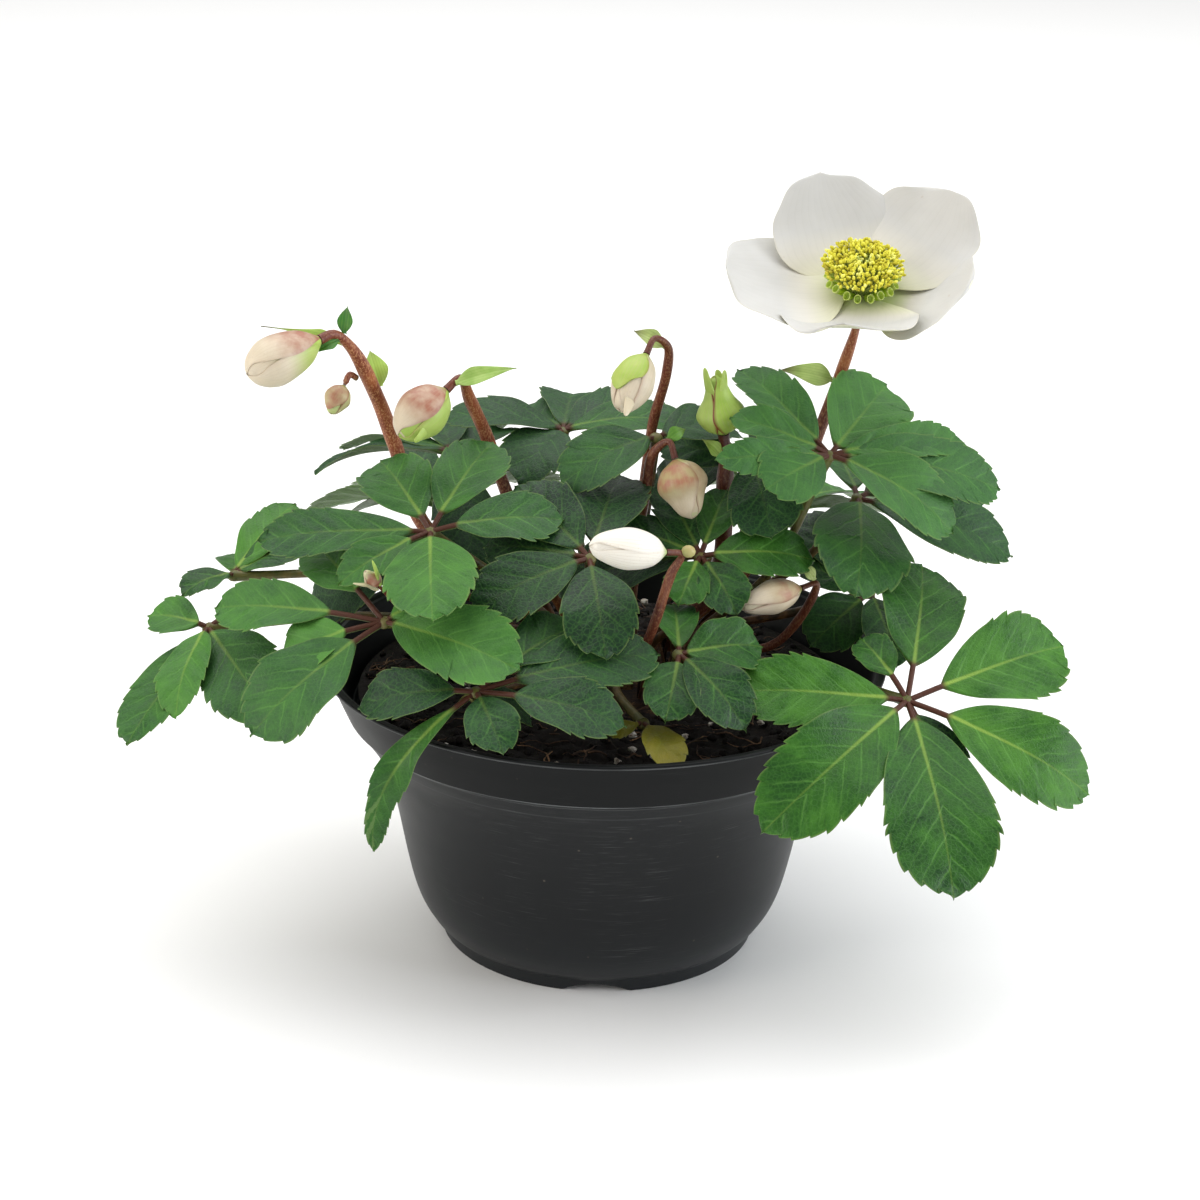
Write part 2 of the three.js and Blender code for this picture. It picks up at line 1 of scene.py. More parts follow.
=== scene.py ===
# Christmas rose (Helleborus niger) in a black nursery bowl: the fine shapes and the finish of every piece.
# Shapes are worked out in millimetres, +Z up, from the centre of the bowl's base. make_object turns them
# to metres, so that they stand where the CAD part has them.
import bpy
import numpy as np
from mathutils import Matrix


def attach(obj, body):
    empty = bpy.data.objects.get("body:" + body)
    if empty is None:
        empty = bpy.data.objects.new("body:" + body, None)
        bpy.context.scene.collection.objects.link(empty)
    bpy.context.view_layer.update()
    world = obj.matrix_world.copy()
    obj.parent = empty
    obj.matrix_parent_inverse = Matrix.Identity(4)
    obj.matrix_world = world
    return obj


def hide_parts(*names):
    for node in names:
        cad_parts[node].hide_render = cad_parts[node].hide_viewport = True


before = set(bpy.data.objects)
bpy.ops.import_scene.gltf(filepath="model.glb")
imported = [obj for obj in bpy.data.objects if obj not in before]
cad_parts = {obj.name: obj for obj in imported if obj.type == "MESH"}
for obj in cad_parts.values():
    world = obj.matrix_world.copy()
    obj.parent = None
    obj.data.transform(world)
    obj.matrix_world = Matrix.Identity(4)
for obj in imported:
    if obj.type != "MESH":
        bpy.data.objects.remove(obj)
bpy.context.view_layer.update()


# ------------------------------------------------------------------------------------------ bowl
# A nursery bowl of charcoal polypropylene, injection-moulded in one piece: a foot ring with four
# drainage arches, a floor with eight holes, a bulging wall, a collar step and a thin lip.
MM = 0.001
DEGREE = np.pi / 180
BOWL_SIDES = 288
CORNER_STEPS = 6  # points on a rounded corner
CORNER_REACH = 0.45  # the furthest that a rounding goes towards the next corner, as a share
FOOT_TOP = 4.6  # height of the foot ring's outside
FOOT_INNER_RADIUS = 48.5  # the arches cut the underside from here outwards
ARCH_WIDTH = 22
ARCH_HEIGHT = 2.8
FLOOR_BOTTOM = 3.2
FLOOR_TOP = 5.2
DRAIN_RADIUS = 4
DRAIN_RING_RADIUS = 36
DRAIN_COUNT = 8
DRAIN_SIDES = 40
CUT_BOTTOM = 1  # the drain holes are cut between these heights, past both faces of the floor
CUT_TOP = 8.2
# Painted highlights: pale hairlines where the bowl's edges catch the light.
HIGHLIT_EDGES = [(81.9, 0.45), (80.4, 0.12), (99, 0.25), (75.5, 0.07)]  # height and how pale
HIGHLIT_HALF_WIDTH = 0.28
PAINTED_LIFT_HEIGHT = 32  # the wall is painted paler up to here, as light that lifts the floor's shade
COLLAR_HEIGHT = 81.6  # the collar above this height is painted darker, as shade, and shines less
# The wall's outline from the middle of the underside, up the outside, over the lip and down the
# inside: radius, height, and how far its corner is rounded.
BOWL_OUTLINE = [
    (0.5, 0, 0), (10, 0, 0.5), (11, FLOOR_BOTTOM, 0.5), (49, FLOOR_BOTTOM, 0.6), (50, 0, 0.5),
    (53.6, 0, 0.6), (54.2, FOOT_TOP, 0.9), (57.4, 7.2, 1.6), (61.4, 13.5, 3.5), (64, 21, 5), (66.4, 32, 5),
    (67.9, 40, 4), (69.9, 50, 4.5), (72.8, 60, 4.5), (76.9, 70, 4), (82.4, 78, 1.5), (84, 80.6, 0.4),
    (86, 82, 0.5), (89.5, 90, 3), (92.6, 98, 0.5), (95, 98.8, 0.4), (95, 100, 0.5), (92.8, 100, 0.5),
    (90.4, 98, 1), (83.8, 82, 1), (80.2, 78, 1), (74.7, 70, 3), (70.6, 60, 4), (65.7, 40, 5), (61.8, 21, 5),
    (55.2, 7.2, 2), (50, FLOOR_TOP, 1.5), (0.5, FLOOR_TOP, 0),
]


def rounded(outline):
    """The outline with each corner turned into a curve.

    A corner P with neighbours A and B becomes (1-t)^2 A' + 2t(1-t) P + t^2 B', where A' and B' lie the
    rounding away from P on its two sides, but at most CORNER_REACH of the way to the neighbour.
    """
    outline = np.array(outline, float)
    point, rounding = outline[1:-1, :2], outline[1:-1, 2:]
    start, end = (
        point + side * np.minimum(rounding / np.linalg.norm(side, axis=1, keepdims=True), CORNER_REACH)
        for side in (outline[:-2, :2] - point, outline[2:, :2] - point)
    )
    t = np.linspace(0, 1, CORNER_STEPS)[:, None, None]
    curves = (1 - t) ** 2 * start + 2 * t * (1 - t) * point + t**2 * end
    return np.vstack([outline[:1, :2], curves.transpose(1, 0, 2).reshape(-1, 2), outline[-1:, :2]])


def turned(outline, sides):
    """Rings round the Z axis: a point (r, z) of the outline becomes (r cos a, r sin a, z)."""
    angle = np.arange(sides) * 2 * np.pi / sides
    radius, height = np.asarray(outline)[:, :2].T
    level = np.repeat(height[:, None], sides, axis=1)
    return np.stack([np.outer(radius, np.cos(angle)), np.outer(radius, np.sin(angle)), level], axis=-1)


def outwards(angle):
    """The level unit vector at an angle from +X: (cos a, sin a, 0)."""
    return np.array([np.cos(angle), np.sin(angle), 0])


def shell(rings, material=0, **marks):
    """A closed skin over rings of points, as points, quads, triangles, a material number and marks.

    rings[i, j] is point j of ring i. Quads join each ring to the next, all the way round, and each
    end closes with triangles to its ring's mean point. Faces are turned over if the volume that they
    enclose, the sum of their corners' triple products, comes out negative. marks are values at the
    points, which the materials read by name.
    """
    count, sides = rings.shape[:2]
    here = np.arange(count * sides).reshape(count, sides)
    beyond = np.roll(here, -1, axis=1)
    quads = np.stack([here[:-1], beyond[:-1], beyond[1:], here[1:]], axis=-1).reshape(-1, 4)
    first, last = np.full(sides, count * sides), np.full(sides, count * sides + 1)
    triangles = np.vstack([
        np.stack([beyond[0], here[0], first], axis=-1), np.stack([here[-1], beyond[-1], last], axis=-1),
    ])
    points = np.vstack([rings.reshape(-1, 3), rings[0].mean(axis=0), rings[-1].mean(axis=0)])
    corners = points - points.mean(axis=0)
    volume = sum(
        np.einsum("ij,ij->", corners[face[:, 0]], np.cross(corners[face[:, k]], corners[face[:, k + 1]]))
        for face, k in ((quads, 1), (quads, 2), (triangles, 1))
    )
    if volume < 0:
        quads, triangles = quads[:, ::-1], triangles[:, ::-1]
    values = {}
    for name, value in marks.items():
        grid = np.broadcast_to(value, (count, sides))
        values[name] = np.concatenate([grid.ravel(), [grid[0].mean(), grid[-1].mean()]])
    return points, quads, triangles, material, values


def make_object(name, shells, materials, crease=50):
    """One mesh object from closed shells. Edges that turn by more than crease degrees stay sharp."""
    starts = np.cumsum([0] + [len(s[0]) for s in shells])
    quads = np.vstack([s[1] + start for s, start in zip(shells, starts)])
    triangles = np.vstack([s[2] + start for s, start in zip(shells, starts)])
    points = np.vstack([s[0] for s in shells]) * MM
    mesh = bpy.data.meshes.new(name)
    mesh.vertices.add(len(points))
    mesh.vertices.foreach_set("co", points.astype(np.float32).ravel())
    mesh.loops.add(quads.size + triangles.size)
    corners = np.concatenate([quads.ravel(), triangles.ravel()])
    mesh.loops.foreach_set("vertex_index", corners.astype(np.int32))
    mesh.polygons.add(len(quads) + len(triangles))
    loop_starts = np.concatenate([np.arange(len(quads)) * 4, quads.size + np.arange(len(triangles)) * 3])
    mesh.polygons.foreach_set("loop_start", loop_starts.astype(np.int32))
    numbers = [np.repeat([s[3] for s in shells], [len(s[part]) for s in shells]) for part in (1, 2)]
    mesh.polygons.foreach_set("material_index", np.concatenate(numbers).astype(np.int32))
    for material in materials:
        mesh.materials.append(material)
    for mark in sorted({mark for s in shells for mark in s[4]}):
        values = [s[4].get(mark, np.zeros(len(s[0]))) for s in shells]
        attribute = mesh.attributes.new(mark, "FLOAT", "POINT")
        attribute.data.foreach_set("value", np.concatenate(values).astype(np.float32))
    mesh.update(calc_edges=True)
    mesh.shade_smooth()
    mesh.set_sharp_from_angle(angle=crease * DEGREE)
    made = bpy.data.objects.new(name, mesh)
    bpy.context.scene.collection.objects.link(made)
    return made


def linear(hex_colour):
    """An sRGB hex value as a linear colour: s / 12.92 when dark, else ((s + 0.055) / 1.055) ^ 2.4."""
    srgb = np.array([int(hex_colour[i : i + 2], 16) for i in (1, 3, 5)]) / 255
    return (*np.where(srgb <= 0.04045, srgb / 12.92, ((srgb + 0.055) / 1.055) ** 2.4), 1)


def cells(size):
    """How many pattern cells a metre holds, for cells of that size in millimetres."""
    return 1 / (size * MM)


def plug(tree, node, inputs):
    """Fills a node's inputs: with a number, a hex colour, an output socket, or a node's first output."""
    for key, value in inputs.items():
        by_name = [s for s in node.inputs if s.enabled and s.name == key]
        socket = node.inputs[key] if isinstance(key, int) else by_name[0]
        if isinstance(value, bpy.types.Node):
            value = next(s for s in value.outputs if s.enabled)
        if isinstance(value, bpy.types.NodeSocket):
            tree.links.new(value, socket)
        else:
            socket.default_value = linear(value) if isinstance(value, str) else value


def add(tree, kind, inputs, stops=(), **settings):
    """Adds a shader node with its settings, its inputs and, on a colour ramp, its stops."""
    node = tree.nodes.new("ShaderNode" + kind)
    for name, value in settings.items():
        setattr(node, name, value)
    if stops:
        elements = node.color_ramp.elements
        for element, (place, colour) in zip((elements[0], elements[-1]), (stops[0], stops[-1])):
            element.position, element.color = place, linear(colour)
        for place, colour in stops[1:-1]:
            elements.new(place).color = linear(colour)
    plug(tree, node, inputs)
    return node


def new_material(name, *marks):
    """A node material, with its tree, shader and Object coordinates, and the marks that it reads."""
    material = bpy.data.materials.new(name)
    material.use_nodes = True
    tree = material.node_tree
    place = add(tree, "TexCoord", {}).outputs["Object"]
    read = [add(tree, "Attribute", {}, attribute_name=mark).outputs["Fac"] for mark in marks]
    return (material, tree, tree.nodes["Principled BSDF"], place, *read)


def moulded_polypropylene():
    """Satin moulded plastic: broad soft highlights, a faint grain, level scuffs and specks, with painted
    highlights on its edges, painted shade on the collar and painted light near the ground.
    """
    material, tree, shader, place = new_material("moulded_polypropylene")
    # A scuff is 0.3 mm high and about 12 mm long, level round the bowl.
    level = add(tree, "Mapping", {"Vector": place, "Scale": (cells(12), cells(12), cells(0.3))})
    streaks = add(tree, "TexNoise", {"Vector": level, "Scale": 1, "Detail": 3, "Roughness": 0.6})
    patches = add(tree, "TexNoise", {"Vector": place, "Scale": cells(22), "Detail": 4})
    scuffed = add(tree, "MapRange", {"Value": streaks, "From Min": 0.58, "From Max": 0.78, "To Max": 0.5})
    where = add(tree, "MapRange", {"Value": patches, "From Min": 0.42, "From Max": 0.7})
    scuffs = add(tree, "Math", {0: scuffed, 1: where}, operation="MULTIPLY")
    # A speck of dried compost is 0.5 to 1 mm across.
    specks = add(tree, "TexVoronoi", {"Vector": place, "Scale": cells(9)})
    speck = add(tree, "MapRange",
                {"Value": specks, "From Min": 0.03, "From Max": 0.06, "To Min": 0.5, "To Max": 0})
    grain = add(tree, "TexNoise", {"Vector": place, "Scale": cells(0.35), "Detail": 2})
    # The collar is painted darker, as shade, and near the ground the wall is painted paler, as light that
    # lifts the shade that the floor leaves on it.
    height = add(tree, "SeparateXYZ", {0: place}).outputs["Z"]
    collar = add(tree, "Math", {0: height, 1: COLLAR_HEIGHT * MM}, operation="GREATER_THAN")
    collar_shade = add(tree, "Math", {0: collar, 1: 0.75}, operation="MULTIPLY")
    painted_lift = add(tree, "MapRange",
                  {"Value": height, "From Max": PAINTED_LIFT_HEIGHT * MM, "To Min": 0.6, "To Max": 0})
    colour = add(tree, "Mix", {"Factor": patches, "A": "#0b0d0f", "B": "#101315"}, data_type="RGBA")
    layers = ((scuffs, "#6d6e6e"), (speck, "#5b5248"), (collar_shade, "#050707"), (painted_lift, "#26292b"))
    for factor, shade in layers:
        colour = add(tree, "Mix", {"Factor": factor, "A": colour, "B": shade}, data_type="RGBA")
    # Painted highlights are pale hairlines 0.5 mm wide, where edges catch the light: at the collar step,
    # below the lip and on the wall.
    for highlit_height, strength in HIGHLIT_EDGES:
        on_edge = add(tree, "Math", {0: height, 1: highlit_height * MM, 2: HIGHLIT_HALF_WIDTH * MM},
                      operation="COMPARE")
        highlight_strength = add(tree, "MapRange", {
            "Value": patches, "From Min": 0.3, "From Max": 0.6, "To Min": 0.3 * strength, "To Max": strength,
        })
        line = add(tree, "Math", {0: on_edge, 1: highlight_strength}, operation="MULTIPLY")
        colour = add(tree, "Mix", {"Factor": line, "A": colour, "B": "#8d9191"}, data_type="RGBA")
    gloss = add(tree, "MapRange", {"Value": patches, "To Min": 0.36, "To Max": 0.5})
    gloss = add(tree, "Math", {0: scuffs, 1: 0.25, 2: gloss}, operation="MULTIPLY_ADD")
    bump = add(tree, "Bump", {"Strength": 0.12, "Distance": 0.1 * MM, "Height": grain})
    shine = add(tree, "MapRange", {"Value": collar, "To Min": 0.24, "To Max": 0.14})
    plug(tree, shader, {
        "Base Color": colour, "Roughness": gloss, "Normal": bump, "Specular IOR Level": shine,
    })
    return material


def arched_foot(rings):
    """The foot ring with its arches: below its top, height z becomes rise + z (1 - rise / top).

    rise is the height of the arch's circle over the point, A - R + sqrt(R^2 - x^2), where x is the
    distance from the arch's middle, A the arch's height and R the radius that its width gives.
    """
    radius = (ARCH_WIDTH**2 / 4 + ARCH_HEIGHT**2) / (2 * ARCH_HEIGHT)
    x, y, z = np.moveaxis(rings, -1, 0)
    sideways = np.minimum(np.abs(x), np.abs(y))
    circle = np.sqrt(np.maximum(radius**2 - sideways**2, 0))
    rise = np.maximum(ARCH_HEIGHT - radius + circle, 0)
    foot = (np.hypot(x, y) > FOOT_INNER_RADIUS) & (z < FOOT_TOP)
    z = np.where(foot, rise + z * (1 - rise / FOOT_TOP), z)
    return np.stack([x, y, z], axis=-1)


bowl = make_object(
    "nursery_bowl", [shell(arched_foot(turned(rounded(BOWL_OUTLINE), BOWL_SIDES)))],
    [moulded_polypropylene()], crease=60,
)
drain_angles = (np.arange(DRAIN_COUNT) + 0.5) * 2 * np.pi / DRAIN_COUNT
drain_outline = [(0.4, CUT_BOTTOM), (DRAIN_RADIUS, CUT_BOTTOM), (DRAIN_RADIUS, CUT_TOP), (0.4, CUT_TOP)]
drains = make_object("drain_cutter", [
    shell(turned(drain_outline, DRAIN_SIDES) + DRAIN_RING_RADIUS * outwards(angle))
    for angle in drain_angles
], [])
holes = bowl.modifiers.new("drain_holes", "BOOLEAN")
holes.object = drains
bpy.context.view_layer.objects.active = bowl
bpy.ops.object.modifier_apply(modifier="drain_holes")
bpy.data.objects.remove(drains)
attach(bowl, "root")
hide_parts("pot")


# --------------------------------------------------------------------------------------- compost
# Dark peat-based compost, filled to about 12 mm below the lip and watered in, so that it is crumbly
# on top. Perlite crumbs, shreds of root and bits of bark lie in it and on it.
SOIL_HEIGHT = 87
SOIL_MOUND = 1  # the middle is this much higher
MOUND_REACH = 34  # how far from the wall it has risen by that much
SOIL_RADIUS = 81.9  # where its surface meets the wall
UNDER_CROWN_RADIUS = 28  # the surface is plain inside this, where the crown hides it
SOIL_SIDES = 400
SOIL_ROWS = 92
SOIL_WALL = [
    (0.5, 5.5), (49, 5.5), (54.7, 7.5), (61.3, 21.3), (65.2, 40.3), (70.1, 60.3), (74.2, 70.3), (79.7, 78.3),
]
CLOD_COUNT = 1500
CLOD_RADII = (1.1, 3.6)
CLOD_RISE = 0.6  # how much of its radius a clod stands up
CLOD_BED = 1  # how far the surface lies lower between clods
SURFACE_GRAIN = 0.2  # how far each point of the surface is moved up or down
LEVEL_BAND = 2  # the surface turns level this near the wall
CRUMB_RINGS = 5
CRUMB_SIDES = 7
# How many crumbs and fibres lie there, the ring that they lie in, and their radii and lengths.
PEAT_CRUMBS = 420
PEAT_RING = (UNDER_CROWN_RADIUS + 8, SOIL_RADIUS - 2.5)
PEAT_RADII = (0.7, 2)
PERLITE_CRUMBS = 60
PERLITE_RING = (UNDER_CROWN_RADIUS + 8, SOIL_RADIUS - 3)
PERLITE_RADII = (0.7, 1.7)
FIBRE_COUNT = 170
FIBRE_RING = (UNDER_CROWN_RADIUS + 6, SOIL_RADIUS - 5)
FIBRE_RADII = (0.12, 0.42)
FIBRE_LENGTHS = (7, 24)
FIBRE_BENDS = 5
FIBRE_POINTS = 12
WALL_CLEARANCE = 3  # how far fibres keep from the wall
STRETCH_STEPS = 24  # points worked out on each stretch of a smooth curve
# Perlite that lies open at the front, between the leaves.
FRONT_PERLITE = [(-14, -67), (-2, -71), (-10, -74), (1, -75), (7, -72)]

soil_random = np.random.default_rng(11)


def scattered(count, inner, outer, random):
    """Points spread evenly over the ring between two radii."""
    radius = np.sqrt(random.uniform(inner**2, outer**2, count))
    angle = random.uniform(0, 2 * np.pi, count)
    return np.stack([radius * np.cos(angle), radius * np.sin(angle)], axis=-1)


def crumb(centre, radius, material, random):
    """A small lump: a ball whose few points are each pushed in or out by up to a third."""
    latitude = np.linspace(-80, 80, CRUMB_RINGS)[:, None] * DEGREE
    longitude = np.arange(CRUMB_SIDES)[None, :] * 2 * np.pi / CRUMB_SIDES + random.uniform(0, 6)
    reach = radius * random.uniform(0.68, 1.3, (CRUMB_RINGS, CRUMB_SIDES))
    ball = np.stack([
        reach * np.cos(latitude) * np.cos(longitude), reach * np.cos(latitude) * np.sin(longitude),
        0.75 * reach * np.sin(latitude) * np.ones_like(longitude),
    ], axis=-1)
    return shell(np.asarray(centre, float) + ball, material)


def smooth_curve(points, count):
    """Points at even distances along a smooth curve through the given points.

    Each stretch is the cubic between two points whose end slopes come from the neighbours, weighted
    by the square roots of the distances between points (a centripetal Catmull-Rom curve).
    """
    p = np.asarray(points, float)
    p = np.vstack([2 * p[0] - p[1], p, 2 * p[-1] - p[-2]])
    gap = np.sqrt(np.linalg.norm(np.diff(p, axis=0), axis=1))[:, None]
    (a, b, c, d), (ab, bc, cd) = (p[:-3], p[1:-2], p[2:-1], p[3:]), (gap[:-2], gap[1:-1], gap[2:])
    leave = ((b - a) / ab - (c - a) / (ab + bc) + (c - b) / bc) * bc
    arrive = ((c - b) / bc - (d - b) / (bc + cd) + (d - c) / cd) * bc
    t = np.linspace(0, 1, STRETCH_STEPS, endpoint=False)[:, None, None]
    square, cube = 3 * (c - b) - 2 * leave - arrive, 2 * (b - c) + leave + arrive
    stretch = b + leave * t + square * t**2 + cube * t**3
    fine = np.vstack([stretch.transpose(1, 0, 2).reshape(-1, p.shape[1]), p[-2]])
    length = np.concatenate([[0], np.cumsum(np.linalg.norm(np.diff(fine, axis=0), axis=1))])
    even = np.linspace(0, length[-1], count)
    return np.stack([np.interp(even, length, fine[:, k]) for k in range(p.shape[1])], axis=-1)


def swept(path, radius, sides, flat=1):
    """Rings round a path: point + radius (cos a, flat sin a) in the plane square to the path.

    The plane's first axis is the path's direction crossed with the one direction that the whole path
    runs along least, so the rings don't twist.
    """
    tangent = np.gradient(path, axis=0)
    tangent /= np.linalg.norm(tangent, axis=1, keepdims=True)
    away = np.linalg.svd(tangent)[2][2]
    side = np.cross(tangent, away)
    side /= np.linalg.norm(side, axis=1, keepdims=True)
    up = np.cross(side, tangent)
    angle = np.arange(sides)[:, None] * 2 * np.pi / sides
    radius = np.broadcast_to(radius, len(path))[:, None, None]
    return path[:, None] + radius * (np.cos(angle) * side[:, None] + flat * np.sin(angle) * up[:, None])


def fibre(start, length, radius, material, random, height):
    """A thin shred lying on the ground: a curve that wanders sideways and a little up and down."""
    heading = random.uniform(0, 2 * np.pi) + np.cumsum(random.uniform(-0.7, 0.7, FIBRE_BENDS))
    steps = length / FIBRE_BENDS * np.stack([np.cos(heading), np.sin(heading)], axis=-1)
    level = np.vstack([start, start + np.cumsum(steps, axis=0)])
    far = np.hypot(*level.T)
    level *= np.minimum(1, (SOIL_RADIUS - WALL_CLEARANCE) / far)[:, None]
    path = np.column_stack([level, height + random.uniform(0, 1.6, FIBRE_BENDS + 1)])
    taper = np.linspace(1, 0.5, FIBRE_POINTS)
    return shell(swept(smooth_curve(path, FIBRE_POINTS), radius * taper, 5), material)


def peat_compost():
    """Moist peat: nearly black, matt, with browner crumbs and a rough surface."""
    material, tree, shader, place = new_material("peat_compost")
    crumbs = add(tree, "TexNoise", {"Vector": place, "Scale": cells(1.6), "Detail": 6, "Roughness": 0.7})
    damp = add(tree, "TexNoise", {"Vector": place, "Scale": cells(14), "Detail": 2})
    stops = [(0.3, "#080605"), (0.5, "#120d0a"), (0.64, "#1f1712"), (0.78, "#3a2b1f")]
    colour = add(tree, "ValToRGB", {"Fac": crumbs}, stops=stops)
    gloss = add(tree, "MapRange", {"Value": damp, "To Min": 0.72, "To Max": 1})
    bump = add(tree, "Bump", {"Strength": 0.8, "Distance": 0.5 * MM, "Height": crumbs})
    plug(tree, shader, {
        "Base Color": colour, "Roughness": gloss, "Normal": bump, "Specular IOR Level": 0.3,
    })
    return material


def expanded_perlite():
    """Heat-puffed volcanic glass: off-white and chalky, stained by the compost."""
    material, tree, shader, place = new_material("expanded_perlite")
    stains = add(tree, "TexNoise", {"Vector": place, "Scale": cells(1.2), "Detail": 4})
    stops = [(0.35, "#6d6055"), (0.52, "#b5aea3"), (0.7, "#dcd8d0")]
    colour = add(tree, "ValToRGB", {"Fac": stains}, stops=stops)
    bump = add(tree, "Bump", {"Strength": 0.5, "Distance": 0.2 * MM, "Height": stains})
    plug(tree, shader, {"Base Color": colour, "Roughness": 0.9, "Normal": bump})
    return material


def dry_fibre():
    """Dead root and bark shreds: matt brown, darker where they are damp."""
    material, tree, shader, place = new_material("dry_fibre")
    tone = add(tree, "TexNoise", {"Vector": place, "Scale": cells(7), "Detail": 4})
    stops = [(0.35, "#1c130d"), (0.52, "#4a3423"), (0.7, "#8a6a4c")]
    colour = add(tree, "ValToRGB", {"Fac": tone}, stops=stops)
    plug(tree, shader, {"Base Color": colour, "Roughness": 0.85})
    return material


def crumbly_top(rings):
    """Raises points by the highest of many part-sunk balls: rise sqrt(r^2 - d^2) over each clod.

    The lift fades to nothing at the wall, and every point is moved a little more at random.
    """
    x, y, z = rings[..., 0], rings[..., 1], rings[..., 2].copy()
    centres = scattered(CLOD_COUNT, UNDER_CROWN_RADIUS, SOIL_RADIUS - 1.5, soil_random)
    radii = soil_random.uniform(*CLOD_RADII, CLOD_COUNT)
    lift = np.zeros_like(z)
    for (cx, cy), radius in zip(centres, radii):
        inside = radius**2 - (x - cx) ** 2 - (y - cy) ** 2
        lift = np.maximum(lift, CLOD_RISE * np.sqrt(np.maximum(inside, 0)))
    grain = soil_random.uniform(-SURFACE_GRAIN, SURFACE_GRAIN, z.shape)
    z += (lift - CLOD_BED + grain) * np.clip((SOIL_RADIUS - np.hypot(x, y)) / LEVEL_BAND, 0, 1)
    return np.stack([x, y, z], axis=-1)


soil_reach = np.concatenate([np.linspace(SOIL_RADIUS, UNDER_CROWN_RADIUS, SOIL_ROWS), [14, 0.5]])
soil_level = SOIL_HEIGHT + SOIL_MOUND * np.clip((SOIL_RADIUS - soil_reach) / MOUND_REACH, 0, 1)
soil_side = turned(SOIL_WALL, SOIL_SIDES)
soil_top = crumbly_top(turned(np.column_stack([soil_reach, soil_level]), SOIL_SIDES))
soil_parts = [shell(np.concatenate([soil_side, soil_top]))]
for spot in scattered(PEAT_CRUMBS, *PEAT_RING, soil_random):
    size = soil_random.uniform(*PEAT_RADII)
    soil_parts.append(crumb((*spot, SOIL_HEIGHT + 0.9 + 0.3 * size), size, 0, soil_random))
for spot in [*scattered(PERLITE_CRUMBS, *PERLITE_RING, soil_random), *FRONT_PERLITE]:
    size = soil_random.uniform(*PERLITE_RADII)
    soil_parts.append(crumb((*spot, SOIL_HEIGHT + 1.1 + 0.4 * size), size, 1, soil_random))
for spot in scattered(FIBRE_COUNT, *FIBRE_RING, soil_random):
    long, thick = soil_random.uniform(*FIBRE_LENGTHS), soil_random.uniform(*FIBRE_RADII)
    soil_parts.append(fibre(spot, long, thick, 2, soil_random, SOIL_HEIGHT + 1))
soil_materials = [peat_compost(), expanded_perlite(), dry_fibre()]
compost = make_object("compost", soil_parts, soil_materials, crease=70)
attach(compost, "root")
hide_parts("soil")


# ----------------------------------------------------------------------------------------- crown
# The rootstock that every petiole and flower stem grows from, half sunk in the compost: a knobbly
# mound of old wood, with the papery sheaths and stubs of past years' leaves still standing on it.
CROWN_CENTRE = np.array([6, 6])
CROWN_RADIUS = 36
CROWN_BOTTOM = 88.3
CROWN_TOP = 94
MOUND_ROWS = 26
MOUND_SIDES = 120
KNOB_COUNT = 130
KNOB_RADII = (2, 5)
STUB_COUNT = 74
STUB_POINTS = 9  # rings of a stub, and points in each
STUB_HEIGHTS = (5, 13)
STUB_RADII = (1.1, 2.6)
ROOTLET_COUNT = 44
ROOTLET_LENGTHS = (9, 22)
ROOTLET_RADII = (0.25, 0.6)

crown_random = np.random.default_rng(5)


def old_leaf_base():
    """Dead leaf bases and bark: fibrous, matt, from dark umber to straw at the torn ends."""
    material, tree, shader, place = new_material("old_leaf_base")
    # Fibres run up the stubs, 0.7 mm apart and about 5 mm long.
    upright = add(tree, "Mapping", {"Vector": place, "Scale": (cells(0.7), cells(0.7), cells(5))})
    fibres = add(tree, "TexNoise", {"Vector": upright, "Scale": 1, "Detail": 5, "Roughness": 0.65})
    blotches = add(tree, "TexNoise", {"Vector": place, "Scale": cells(6), "Detail": 3})
    tone = add(tree, "Math", {0: fibres, 1: blotches}, operation="MULTIPLY")
    stops = [(0.14, "#120b07"), (0.24, "#2d1d13"), (0.33, "#5a3f29"), (0.42, "#9a7a55")]
    colour = add(tree, "ValToRGB", {"Fac": tone}, stops=stops)
    bump = add(tree, "Bump", {"Strength": 0.7, "Distance": 0.3 * MM, "Height": fibres})
    plug(tree, shader, {"Base Color": colour, "Roughness": 0.88, "Normal": bump})
    return material


def stub(foot, height, radius, lean, random):
    """A torn leaf base: a short sheath that leans out, narrows upwards and ends ragged."""
    out = np.array([*lean, 0.0])
    share = np.linspace(0, 1, STUB_POINTS)[:, None]
    path = np.array([*foot, CROWN_BOTTOM + 1.5]) + share * [0, 0, height] + share**1.6 * out * height
    rings = swept(path, radius * np.linspace(1.15, 0.55, STUB_POINTS), STUB_POINTS, flat=0.6)
    rings[-1, :, 2] += random.uniform(-1.5, 1.5, STUB_POINTS)
    return shell(rings)


mound_share = np.linspace(0, 1, MOUND_ROWS)
mound = turned(np.vstack([
    [(0.5, CROWN_BOTTOM), (CROWN_RADIUS - 1, CROWN_BOTTOM)],
    np.column_stack([
        CROWN_RADIUS * np.maximum(np.cos(mound_share * np.pi / 2), 0.02) ** 0.5,
        CROWN_BOTTOM + (CROWN_TOP - CROWN_BOTTOM) * np.sin(mound_share * np.pi / 2) ** 0.8,
    ]),
]), MOUND_SIDES)
mound[..., :2] += CROWN_CENTRE
knob_places = scattered(KNOB_COUNT, 0, CROWN_RADIUS - 2, crown_random) + CROWN_CENTRE
knobs = np.column_stack([knob_places, crown_random.uniform(*KNOB_RADII, KNOB_COUNT)])
for knob_x, knob_y, knob_radius in knobs:
    apart = (mound[2:, :, 0] - knob_x) ** 2 + (mound[2:, :, 1] - knob_y) ** 2
    mound[2:, :, 2] += 0.22 * np.sqrt(np.maximum(knob_radius**2 - apart, 0)) - 0.02 * knob_radius
crown_parts = [shell(mound)]
